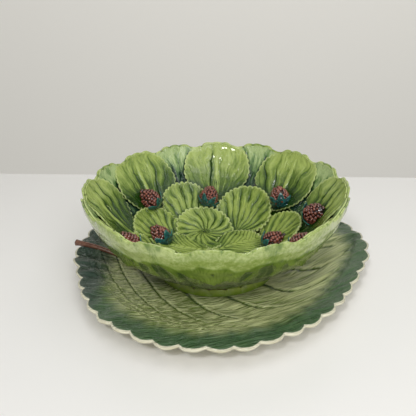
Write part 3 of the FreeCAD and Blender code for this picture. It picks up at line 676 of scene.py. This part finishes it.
inner_plan = {
    "blunt": 2.15, "narrow": 0.3, "teeth": 36, "tooth": 3.0, "flat_tip": 0.0,
    "veins": fan_veins, "ribs": 8.0, "groove": 0.09, "relief": 1.7, "midrib": 0.3, "cup": 1.2, "wave": 1.0,
    "steady": 0.8, "uneven": 0.9, "crest": 0.7,
    "shade": lambda x, y, out: 0.5 * (1 - ease(0.0, 0.6, y)) - 0.2 * ease(0.6, 1.0, out),
    "lift": lambda x, y: 4.2 + 3.4 * ease(0.1, 0.7, y) - 1.4 * x,
}  # fmt: skip
heart_plan = {
    "blunt": 2.1, "narrow": 0.35, "teeth": 34, "tooth": 2.6, "flat_tip": 0.0,
    "veins": side_veins, "ribs": 9.0, "groove": 0.1, "relief": 1.6, "midrib": 0.6, "cup": 1.0, "wave": 0.9,
    "steady": 0.8, "uneven": 0.8, "crest": 0.7,
    "shade": lambda x, y, out: 0.45 * (1 - ease(0.0, 0.5, y)) - 0.2 * ease(0.6, 1.0, out),
    "lift": lambda x, y: 4.0 + 4.4 * ease(0.05, 0.6, y),
}  # fmt: skip

RIM_LEAVES = 8
RIM_LEAF_PITCH = 360.0 / RIM_LEAVES
FIRST_RIM_LEAF = 88.0  # its direction from the axis, in degrees
PAST_LIP = 2.0  # a leaf at the rim is laid out this far past the lip's top, and ring_place holds it back
RIM_LEAF_DRIFT = {1: 3.0, 7: -1.5}  # degrees that a rim leaf lies off its even spacing
RIM_LEAF_TINT = {1: 0.26, 2: 0.12, 6: 0.12, 7: 0.2}  # how much darker some of them are drawn
# Inner leaves: middle and base in degrees and millimetres from the axis, tip, and half width.
INNER_LEAVES = [
    (156, 56, 108, 40), (114, 60, 119, 36), (62, 56, 115, 41), (12, 57, 108, 38),
    (-29, 57, 107, 36), (-73, 57, 107, 36), (-117, 57, 107, 36), (-161, 57, 107, 36),
]  # fmt: skip
# Heart leaves: direction, length and half width.
HEART_LEAVES = [(102, 80, 39), (172, 64, 29), (236, 64, 29), (300, 64, 29), (20, 64, 31)]
HEART_START = 3.0  # each begins this far from the point they spring from
HEART_ROOT = (-5.0, 6.0)


def make_leaves():
    top = RIM_TOP_ALONG + PAST_LIP
    for i in range(RIM_LEAVES):
        turn = FIRST_RIM_LEAF + RIM_LEAF_PITCH * (i + 0.5)
        plan = dict(back_plan, seed=20 + i)
        place = ring_place(turn, top - plan["length"], plan["length"])
        make_leaf(f"back_leaf_{i + 1}", place, plan, back_glaze, BACK_LEAF_CELLS, RIM_LEAF_WALL)
    for i in range(RIM_LEAVES):
        turn = FIRST_RIM_LEAF + RIM_LEAF_PITCH * i + RIM_LEAF_DRIFT.get(i, 0.0)
        plan = dict(rim_plan, seed=1 + i, tint=RIM_LEAF_TINT.get(i, 0.0))
        place = ring_place(turn, top - plan["length"], plan["length"])
        make_leaf(f"rim_leaf_{i + 1}", place, plan, rim_glaze, wall=RIM_LEAF_WALL)
    for i, (turn, base, tip, half) in enumerate(INNER_LEAVES):
        start = along_at(base)
        plan = dict(inner_plan, seed=40 + i, length=along_at(tip) - start, half_width=half)
        make_leaf(f"inner_leaf_{i + 1}", ring_place(turn, start), plan, inner_glaze)
    for i, (turn, length, half) in enumerate(HEART_LEAVES):
        plan = dict(heart_plan, seed=60 + i, length=length, half_width=half)
        if i == 0:
            plan.update(veins=whorl_veins, ribs=8.0, midrib=0.0)
        make_leaf(f"heart_leaf_{i + 1}", plan_place(turn, HEART_START, HEART_ROOT), plan, inner_glaze)


make_leaves()


# ---------- the bowl's shell and frill

SHELL_GRID = (352, 132)
FANS = 8
LIP = 22.0  # width of the pale band along the rim
KNOB_UP = 93.0  # each fan's leaves spring from a small knob this far up the wall
HEM_UP = 79.0  # below this the relief stops and the glaze is painted dark, as shade under the bowl's overhanging wall
WALL_SHARE = 0.84  # how much of the grid's rows lie on the wall, and not on the flat floor
EDGE_SHARE = 0.035  # how much of them round the lip
CLIMB_STEP = 14.0  # length up the wall over which its streaks change
KNOB_HEIGHT = 1.9
VEIN_RIDGE = 1.4  # the arched rib that runs from each knob


def fan_relief(turn, up, top):
    """Outside of the bowl at a length up its wall: height, glaze depth with painted shade below the hem,
    and rib phase.
    """
    pitch = 2 * math.pi / FANS
    share = ((turn - math.pi / 2 - LOBE_PHASE) / pitch + 0.5) % 1.0 - 0.5
    across = share * pitch * (66 + 0.5 * up)
    spread = math.atan2(abs(across), up + 9)
    phase = 8.5 * spread + 0.35 * wobble(across, up, 9, 16.0)
    strength = max(0.0, 0.45 + 1.8 * wobble(math.floor(phase + 0.5) * 1.9, turn * 3, 8))
    groove = press_veins(phase, 0.17) * strength
    gap = bump(abs(share) - 0.5, 0.035 + 0.0004 * up)
    knob = bump(math.hypot(across, up - KNOB_UP), 5.0)
    arc = KNOB_UP - 1 + 0.62 * abs(across)
    reach = 1 - ease(18, 30, abs(across))
    spine = bump(up - arc, 1.7) * reach
    hem = HEM_UP + 5 * abs(math.sin(turn * 20)) + 4 * wobble(turn * 10, 0, 12)
    on_fan = ease(hem, hem + 10, up) * (1 - ease(top - LIP - 12, top - LIP, up))
    height = -1.2 * on_fan * groove - 1.4 * gap * on_fan + KNOB_HEIGHT * knob + VEIN_RIDGE * spine
    height += 1.1 * wobble(across, up, 14, 13.0) + 2.4 * ease(hem, hem + 5, up)
    # painted shade: dark below the hem, under the overhanging wall; elsewhere glaze pooled in the grooves
    # and gaps
    pool = 0.9 * groove * on_fan + 0.6 * gap + 1.1 * (1 - ease(hem, hem + 6, up)) - 0.7 * spine - 1.3 * knob
    pool += 0.4 * bump(up - arc - 8, 4.0) * reach * (1 - bump(across, 7.0))
    pool += 0.6 * bump(up - (top - LIP - 10), 9) * bump(abs(share) - 0.3, 0.12)
    return height, pool, 3 * phase


def make_shell():
    """One sheet wrapped round the axis: up the inside, over the lip, and down the outside to the middle."""
    bm = new_grid(*SHELL_GRID)
    pool, lip, rib, climb = float_layers(bm, "pool", "lip", "rib", "up")
    outer_start = FLOOR_RADIUS + CORNER * WALL_START
    for vert in bm.verts:
        turn, share = math.pi * vert.co.x, vert.co.y
        top = WALL_END + lobe_rise(turn) / WALL_ARC
        face = abs(share)
        reach = (1 - face) / (1 - EDGE_SHARE)
        over = max(0.0, 1 - face / EDGE_SHARE)
        if reach < 1 - WALL_SHARE:
            slope, flat = 0.0, reach / (1 - WALL_SHARE)
        else:
            slope, flat = top * min(1.0, (reach - 1 + WALL_SHARE) / WALL_SHARE), 1.0
        up = outer_start + WALL_ARC * (slope - WALL_START) - FLOOR_RADIUS
        top_up = outer_start + WALL_ARC * (top - WALL_START) - FLOOR_RADIUS
        height, vert[pool], vert[rib] = fan_relief(turn, up, top_up)
        near_lip = ease(top_up - LIP - 5, top_up - LIP + 5, up + 5 * wobble(turn * 12, 0, 15))
        band = 0.6 * near_lip * (1 - ease(top_up - 6, top_up, up))
        height = height * (1 - near_lip) * ease(6, 14, up) + band
        vert[lip], vert[climb] = near_lip, up / CLIMB_STEP
        vert[pool] += rim_notch(turn) * ease(top_up - 5, top_up - 1, up)
        outside = (SHELL_WALL - LIP_WALL) * ease(top_up - 12, top_up, up) - height
        depth = SHELL_WALL if share < 0 else outside
        if over:
            side = math.copysign(1 - over, share)
            half = (SHELL_WALL - outside) / 2
            depth = SHELL_WALL - half * (1 + side)
            slope += half * math.sqrt(max(0.0, 1 - side * side)) / WALL_ARC
        r, z = wall_at(slope, depth)
        if flat < 1:
            r = FLOOR_RADIUS * flat
        vert.co = (r * math.cos(turn), r * math.sin(turn), z)
    close_seam(bm)
    bmesh.ops.recalc_face_normals(bm, faces=bm.faces)
    finish_piece(bm, "bowl_shell_glazed", "bowl", ["bowl_shell"], shell_glaze())


FRILL_GRID = (384, 14)
FRILL_WALL = 1.6
FRILL_TIPS = 24
FRILL_FLARE = 2.4  # how far its lower edge stands out past its tips


def make_frill():
    """A skirt of small rounded leaf tips round the foot, standing on the plate."""
    low, high = box_mm("foot_frill")
    bm = new_grid(*FRILL_GRID)
    (edge,) = float_layers(bm, "edge")
    for vert in bm.verts:
        turn, up = math.pi * vert.co.x, (vert.co.y + 1) / 2
        tip = abs(math.cos(turn * FRILL_TIPS / 2)) ** 0.55
        rise = (high.z - low.z) * (0.66 + 0.34 * tip) + 0.4 * wobble(turn * 8, 0, 3)
        swell = 0.9 * math.sin(math.pi * up) * tip + 0.3 * math.cos(turn * FRILL_TIPS * 2) * up
        r = high.x - FRILL_FLARE * up**0.8 - 1.2 * (1 - tip) * up + swell
        vert.co = (r * math.cos(turn), r * math.sin(turn), low.z + rise * up)
        vert[edge] = up
    close_seam(bm)
    finish_piece(bm, "foot_frill_glazed", "bowl", ["foot_frill"], frill_glaze(), FRILL_WALL)


make_shell()
make_frill()

# ---------- berries

BERRY_HALF = 14.4  # half its length
BERRY_RADIUS = 10.6
BERRY_ROWS = 9  # of drupelets
DRUPELET = 2.15  # radius
DRUPELET_STEP = 1.72  # from one to the next along a row, in radii
BERRY_SINK = 1.2  # how far a berry is pressed into its leaf
FRONT_BERRIES, FRONT_SINK = (3, 4, 5, 6), 4.5  # the berries nearest the front lie deeper
SEPALS = 6
CALYX_CELLS = 36
CALYX_WALL = 1.0
# Direction from the axis, length along the wall from the middle, and turn off the radial line.
BERRIES = [
    (94, 110, -20), (142, 126, 20), (204, 124, -15), (246, 124, 15), (286, 124, -20), (328, 126, 15),
    (0, 138, -34), (39, 126, 43), (162, 78, -19), (3, 76, 0), (268, 76, 10),
]  # fmt: skip


def berry_frame(number, angle, along, turn):
    """Centre of a berry, and its axes: towards its tip, across, and off the wall."""
    low, high = box_mm(f"berry_{number}")
    _, _, slope = wall_point(along, SHELL_WALL)
    a, t = math.radians(angle), math.radians(turn)
    outward = Vector((math.cos(slope) * math.cos(a), math.cos(slope) * math.sin(a), math.sin(slope)))
    normal = Vector((-math.sin(slope) * math.cos(a), -math.sin(slope) * math.sin(a), math.cos(slope)))
    tip = outward * math.cos(t) + normal.cross(outward) * math.sin(t)
    sink = FRONT_SINK if number in FRONT_BERRIES else BERRY_SINK
    return (low + high) / 2 - normal * sink, tip, normal.cross(tip), normal


def berry_girth(t):
    """Radius of a berry at a share of its half length, fuller towards its stalk."""
    return BERRY_RADIUS * math.sqrt(max(0.0, 1 - t * t)) * (1 - 0.3 * t)


def frame_matrix(centre, tip, flank, normal):
    turn = Matrix((tip, flank, normal)).transposed().to_4x4()
    return Matrix.Translation(centre) @ turn


def make_berry(number, angle, along, turn, glaze):
    """A core with rows of drupelets round it, each row set half a step from the last."""
    place = frame_matrix(*berry_frame(number, angle, along, turn))
    bm = bmesh.new()
    (pool,) = float_layers(bm, "pool")
    core = bmesh.ops.create_uvsphere(bm, u_segments=20, v_segments=12, radius=1.0)["verts"]
    for vert in core:
        t = vert.co.z
        side = math.hypot(vert.co.x, vert.co.y) or 1.0
        girth = (berry_girth(t) - 0.9) / side
        vert.co = (t * (BERRY_HALF - 1.0), vert.co.x * max(0.0, girth), vert.co.y * max(0.0, girth))
        # the core, seen between the drupelets, is painted in full shade
        vert[pool] = 1.0
    for row in range(BERRY_ROWS):
        t = -0.86 + 1.84 * row / (BERRY_ROWS - 1) + 0.02 * wobble(row, number, 2, 0.7)
        girth = berry_girth(min(t, 0.995)) - 0.5
        count = max(1, round(2 * math.pi * girth / (DRUPELET_STEP * DRUPELET)))
        for i in range(count):
            around = 2 * math.pi * (i + 0.5 * (row % 2)) / count + 0.3 * wobble(row, i, number, 0.7)
            if math.sin(around) < -0.45:  # on the side that is pressed into the leaf
                continue
            spot = Vector((t * (BERRY_HALF - 1), girth * math.cos(around), girth * math.sin(around)))
            radius = DRUPELET * (0.95 + 0.4 * wobble(i, row, number + 0.5, 0.6))
            ball = bmesh.ops.create_uvsphere(bm, u_segments=8, v_segments=6, radius=radius)["verts"]
            out = Vector((0.35 * t, math.cos(around), math.sin(around))).normalized()
            for vert in ball:
                # painted light and shade: each drupelet lighter on the side turned out from the berry,
                # darker towards its base
                vert[pool] = 0.5 - 0.55 * vert.co.dot(out) / radius
                vert.co += spot
    bmesh.ops.transform(bm, matrix=place, verts=bm.verts)
    name = f"berry_{number}"
    finish_piece(bm, name + "_glazed", "bowl", [name], glaze)


def make_calyx(number, angle, along, turn, glaze):
    """A star of pointed sepals drawn over the berry's inner end, their points curling off it."""
    place = frame_matrix(*berry_frame(number, angle, along, turn))
    bm = new_grid(CALYX_CELLS, CALYX_CELLS)
    (edge,) = float_layers(bm, "edge")
    for vert in bm.verts:
        out, around = disc(vert.co.x, vert.co.y)
        point = 1 - abs(((around * SEPALS / (2 * math.pi) + 0.13 * number) % 1.0) - 0.5) * 2
        reach = 4.0 + 8.0 * point**1.1 + 1.2 * wobble(around * 2, 0, number)
        x = -BERRY_HALF - 1.4 + reach * out**1.3
        girth = berry_girth(min(1.0, max(-0.97, x / BERRY_HALF))) * min(1.0, 0.12 + 1.9 * out) + 1.0
        curl = 3.0 * ease(0.55, 1.0, out) * point
        girth += curl + 1.6 * bump(out - 0.45, 0.25) - 0.5 * bump(point - 0.5, 0.2) * out
        if out < 0.001:
            girth = 0.0
        vert.co = (x, girth * math.sin(around), girth * math.cos(around))
        vert[edge] = out
    bmesh.ops.recalc_face_normals(bm, faces=bm.faces)
    flat = [v for v in bm.verts if v.co.z < -5.0]
    bmesh.ops.scale(bm, vec=(1.0, 1.25, 0.6), verts=flat)
    bmesh.ops.transform(bm, matrix=place, verts=bm.verts)
    name = f"calyx_{number}"
    finish_piece(bm, name + "_glazed", "bowl", [name], glaze, CALYX_WALL)


def make_berries():
    berry, calyx = berry_glaze(), calyx_glaze()
    for number, (angle, along, turn) in enumerate(BERRIES, start=1):
        make_berry(number, angle, along, turn, berry)
        make_calyx(number, angle, along, turn, calyx)


make_berries()

# ---------- plate

PLATE_CELLS = 218
PLATE_RADIUS = 166.0  # of the outline's even circle
PLATE_WALL = 5.0
EDGE_WALL = 0.6  # share of the wall that is left at the very edge
WELL_RADIUS = 80.0
PLATE_LEVEL = 168.0  # radius where the plate has levelled out
PLATE_RISE = 15.0
SCALLOPS = 42
SCALLOP_BULGE = 2.6
SEAT = 9.0  # top of the plate's well
RIPPLE = 2.4  # across the fine ripples between the plate's veins
# The leaf outline, as shares of the plate's radius, every 15 degrees from +X.
PLATE_OUTLINE = [
    1.07, 1.105, 1.09, 1.05, 1.01, 1.00, 1.00, 1.005, 1.02, 1.03, 1.03, 1.01,
    0.99, 0.95, 0.97, 1.005, 1.025, 1.04, 1.04, 1.02, 0.99, 0.97, 0.955, 0.99,
]  # fmt: skip
RUN, RISE = (PLATE_LEVEL - WELL_RADIUS) / 2, PLATE_RISE / 2
PLATE_ARC = (RUN * RUN + RISE * RISE) / (2 * RISE)


def plate_height(radius):
    """The plate rises from its well on one arc and levels out on an equal one."""
    if radius <= WELL_RADIUS + RUN:
        slope = math.asin(max(0.0, radius - WELL_RADIUS) / PLATE_ARC)
        return SEAT + PLATE_ARC * (1 - math.cos(slope))
    slope = math.asin(max(0.0, PLATE_LEVEL - radius) / PLATE_ARC)
    return SEAT + PLATE_RISE - PLATE_ARC * (1 - math.cos(slope))


def outline_radius(degrees):
    step = 360.0 / len(PLATE_OUTLINE)
    place = (degrees % 360) / step
    i = int(place)
    t = place - i
    a, b, c, d = (PLATE_OUTLINE[(i + k) % len(PLATE_OUTLINE)] for k in (-1, 0, 1, 2))
    share = b + 0.5 * t * (c - a + t * (2 * a - 5 * b + 4 * c - d + t * (3 * (b - c) + d - a)))
    return share * PLATE_RADIUS


def plate_edge(degrees):
    """Radius of the scalloped edge."""
    scallop = abs(math.sin(math.radians(degrees) * SCALLOPS / 2)) ** 0.75
    return outline_radius(degrees) - SCALLOP_BULGE + 2 * SCALLOP_BULGE * scallop


def midrib_at(x):
    """The plate's midrib: in from the stem, under the bowl, and out to the tip."""
    return 14.0 + 0.00085 * (x - 20.0) ** 2 + 0.04 * x


def plate_veins(x, y):
    """Side veins that leave the midrib and bend along the edge towards the tip.
    Returns how far across the half leaf a point is, and a phase that grows by 1 from vein to vein."""
    middle = midrib_at(x)
    side = y - middle
    reach = math.sqrt(max(1.0, 174.0**2 - min(abs(x - 4), 172.0) ** 2)) * (1.0 if side < 0 else 0.92)
    across = min(0.985, abs(side) / max(12.0, reach + math.copysign(middle, side)))
    bend = -math.log(1 - across)
    root = (x - 80.0 * bend) / (1 + 0.35 * bend)
    return across, 5.5 * math.log(1 + max(1.0, root + 175) / 70)


def plate_surface(x, y):
    """Height off the plate's curve, glaze depth, place across and along the ripples, and how near
    the leaf's base the point is."""
    r = math.hypot(x, y)
    across, phase = plate_veins(x, y)
    phase += 0.07 * wobble(x, y, 11, 30.0)
    part = phase % 1.0
    inland = 1 - ease(0.68, 0.9, across)
    vein = bump(min(part, 1 - part), 0.06) * (0.25 + 0.75 * inland)
    ridge = bump(part - 0.1, 0.045) * (0.3 + 0.7 * inland)
    panel = (part - 0.5) * inland
    side = y - midrib_at(x)
    ripple = (abs(side) + 0.3 * x) / RIPPLE + 1.5 * abs(part - 0.45) + 1.4 * wobble(x, y, 17, 22.0)
    base = ease(-95, -145, x) * ease(0.35, 0.75, r / PLATE_RADIUS)
    curl = math.sin(math.atan2(y, x) * 30 + 2.5 * wobble(x, y, 23, 30.0))
    clear = ease(72, 88, r)
    rippled = noise.noise(Vector((0.42 * ripple, 1.8 * phase, 5.0)))
    height = 1.2 * panel - 1.5 * vein + 0.8 * ridge + 1.5 * rippled
    height += 2.2 * base * (curl - 0.2) + 1.0 * wobble(x, y, 31, 30.0) + 1.6 * bump(side, 3.2)
    pool = 0.95 * vein + 0.55 * base * (0.5 - 0.5 * curl) + 0.5 * bump(abs(side) - 4.5, 1.6)
    pool -= 0.6 * ridge + 0.4 * bump(side, 2.4)
    return height * clear - 0.8 * (1 - clear), pool, ripple, 2.0 * phase, base


LAYERS = ("pool", "edge", "rib", "span", "border", "leaf_base")


def make_plate():
    bm = new_grid(PLATE_CELLS, PLATE_CELLS)
    layers = dict(zip(LAYERS, float_layers(bm, *LAYERS)))
    wall = bm.verts.layers.deform.verify()
    for vert in bm.verts:
        out, around = disc(vert.co.x, vert.co.y)
        degrees = 90 - math.degrees(around)
        limit = plate_edge(degrees)
        calm = outline_radius(degrees)
        r = out * (calm + (limit - calm) * ease(0.8, 1.0, out))
        x, y = r * math.cos(math.radians(degrees)), r * math.sin(math.radians(degrees))
        height, pool, ripple, span, base = plate_surface(x, y)
        wave = math.radians(degrees) * SCALLOPS / 3 + wobble(x, y, 41, 40.0)
        ruffle = 0.9 * ease(0.86, 1.0, out) * math.sin(wave)
        calmer = 1 - 0.6 * ease(0.93, 1.0, out)
        vert.co = (x, y, plate_height(r) + height * calmer + ruffle - 0.8 * ease(0.98, 1.0, out))
        vert[layers["pool"]], vert[layers["edge"]], vert[layers["rib"]] = pool, out, ripple
        vert[layers["border"]] = ease(limit - 48, limit - 8, r)
        vert[layers["span"]], vert[layers["leaf_base"]] = span, base
        vert[wall][0] = 1 - (1 - EDGE_WALL) * ease(0.85, 1.0, out)
    plate = finish_piece(
        bm, "plate_glazed", "plate", ["plate"], plate_glaze(), PLATE_WALL, ivory_glaze()
    )
    plate.vertex_groups.new(name="wall")
    plate.modifiers["wall"].vertex_group = "wall"


STEM_GRID = (28, 90)
STEM_START, STEM_END = 170.0, 92.0  # distances from the axis
STEM_ANGLES = (171.5, 176.0)
STEM_RADII = (3.3, 2.4)
STEM_LIFT = 0.4  # off the plate's even curve
STEM_CAP = 0.08  # share of its rows that close each end


def stem_point(t):
    """The stem's middle line and radius at a share of its length."""
    along = STEM_START + t * (STEM_END - STEM_START)
    a = math.radians(STEM_ANGLES[0] + t * (STEM_ANGLES[1] - STEM_ANGLES[0]))
    radius = STEM_RADII[0] + t * (STEM_RADII[1] - STEM_RADII[0])
    height = plate_height(along) + radius + STEM_LIFT
    return Vector((along * math.cos(a), along * math.sin(a), height)), radius


def make_stem():
    """A grooved stalk lying on the plate, with a swollen, slightly hollow cut at its outer end."""
    bm = new_grid(*STEM_GRID)
    (pool,) = float_layers(bm, "pool")
    for vert in bm.verts:
        turn, share = math.pi * vert.co.x, (vert.co.y + 1) / 2
        t = min(1.0, max(0.0, (share - STEM_CAP) / (1 - 2 * STEM_CAP)))
        spot, radius = stem_point(t)
        ahead = (stem_point(min(1.0, t + 0.02))[0] - stem_point(max(0.0, t - 0.02))[0]).normalized()
        across = ahead.cross(Vector((0, 0, 1))).normalized()
        up = across.cross(ahead)
        groove = abs(math.sin(2.5 * turn + 1.5 * t)) ** 0.5
        uneven = 0.82 + 0.14 * groove + 0.05 * wobble(3 * turn, 20 * t, 7)
        girth = radius * uneven * (1 + 0.22 * bump(t, 0.06))
        closing = ease(0.0, STEM_CAP, share) * ease(1.0, 1 - STEM_CAP, share)
        girth *= closing**0.4
        spot = spot - ahead * (0.6 * radius * bump(share, 0.05)) * (1 - closing)
        vert.co = spot + across * (girth * math.cos(turn)) + up * (girth * math.sin(turn))
        vert[pool] = 1 - groove * closing
    close_seam(bm)
    bmesh.ops.recalc_face_normals(bm, faces=bm.faces)
    finish_piece(bm, "plate_stem_glazed", "plate", ["plate_stem"], stem_glaze())


make_plate()
make_stem()

clay = bare_clay()
for ring in ("bowl_foot_ring", "plate_foot_ring"):
    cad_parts[ring].data.materials.clear()
    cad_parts[ring].data.materials.append(clay)


# ---------- stage, light and camera

# Lengths from here on are metres.
TABLE_REACH = 3.0
TABLE_BACK = 0.307  # from the axis to the table's back edge
WALL_BACK = 1.0  # from the axis to the backdrop
WALL_FOOT, WALL_TOP = -1.5, 2.5
TURN = math.radians(4.6)  # of the table's back edge and the backdrop about the upright


def plain(name, colour, rough, glow=0.0):
    finish = Finish(name, roughness=rough, emission_color=colour, emission_strength=glow)
    finish.shader.inputs["Base Color"].default_value = colour
    return finish.material


def stage_sheet(name, corners, material):
    bm = bmesh.new()
    bm.faces.new([bm.verts.new(corner) for corner in corners])
    mesh_object(bm, name, material)


def stage_spot(x, y, height=0.0):
    return (*turned(x, y, -TURN), height)


def stage_corners(reach, near, far, low, high):
    """Corners of a sheet from near and low to far and high."""
    return [
        stage_spot(-reach, near, low), stage_spot(reach, near, low),
        stage_spot(reach, far, high), stage_spot(-reach, far, high),
    ]  # fmt: skip


table_white = plain("table_white", rgb(234, 233, 231), 0.3)
stage_sheet("table_top", stage_corners(TABLE_REACH, -TABLE_REACH, TABLE_BACK, 0.0, 0.0), table_white)
wall_grey = plain("wall_grey", rgb(236, 234, 228), 0.9, glow=0.17)
stage_sheet("backdrop", stage_corners(TABLE_REACH, WALL_BACK, WALL_BACK, WALL_FOOT, WALL_TOP), wall_grey)


def area_light(name, spot, aim, power, width, height):
    """A rectangular light at a spot, facing a point. Power is in watts."""
    data = bpy.data.lights.new(name, "AREA")
    data.shape = "RECTANGLE"
    data.size, data.size_y, data.energy = width, height, power
    lamp = in_scene(name, data)
    lamp.location = spot
    lamp.rotation_mode = "QUATERNION"
    lamp.rotation_quaternion = (Vector(aim) - Vector(spot)).to_track_quat("-Z", "Y")


area_light("soft_overhead", (0.3, -0.15, 1.4), (0.05, -0.05, 0.0), 6.0, 1.3, 1.0)
area_light("soft_front", (0.4, -1.1, 0.95), (0.02, -0.08, 0.03), 7.5, 0.8, 0.5)
area_light("window", (-0.35, -1.15, 1.15), (0, 0.05, 0.08), 7.5, 0.18, 0.18)

world = bpy.data.worlds.new("room")
world.use_nodes = True
background = world.node_tree.nodes["Background"].inputs
background["Color"].default_value = rgb(214, 213, 208)
background["Strength"].default_value = 0.42
bpy.context.scene.world = world
bpy.context.scene.view_settings.view_transform = "Standard"

AIM = Vector((-8.3, 0.0, 81.8)) * MM
CAMERA_DISTANCE = 0.6178
CAMERA_RISE = math.radians(24.74)
CAMERA_ROLL = math.radians(1.12)
SENSOR_WIDTH, LENS = 36.0, 47.49  # millimetres

camera = in_scene("camera", bpy.data.cameras.new("camera"))
camera.data.sensor_width = SENSOR_WIDTH
camera.data.lens = LENS
camera.data.clip_start = 0.01
back = Vector((0, -math.cos(CAMERA_RISE), math.sin(CAMERA_RISE)))
camera.location = AIM + back * CAMERA_DISTANCE
camera.rotation_mode = "QUATERNION"
roll = Matrix.Rotation(-CAMERA_ROLL, 4, "Z").to_quaternion()
camera.rotation_quaternion = (-back).to_track_quat("-Z", "Y") @ roll
bpy.context.scene.camera = camera
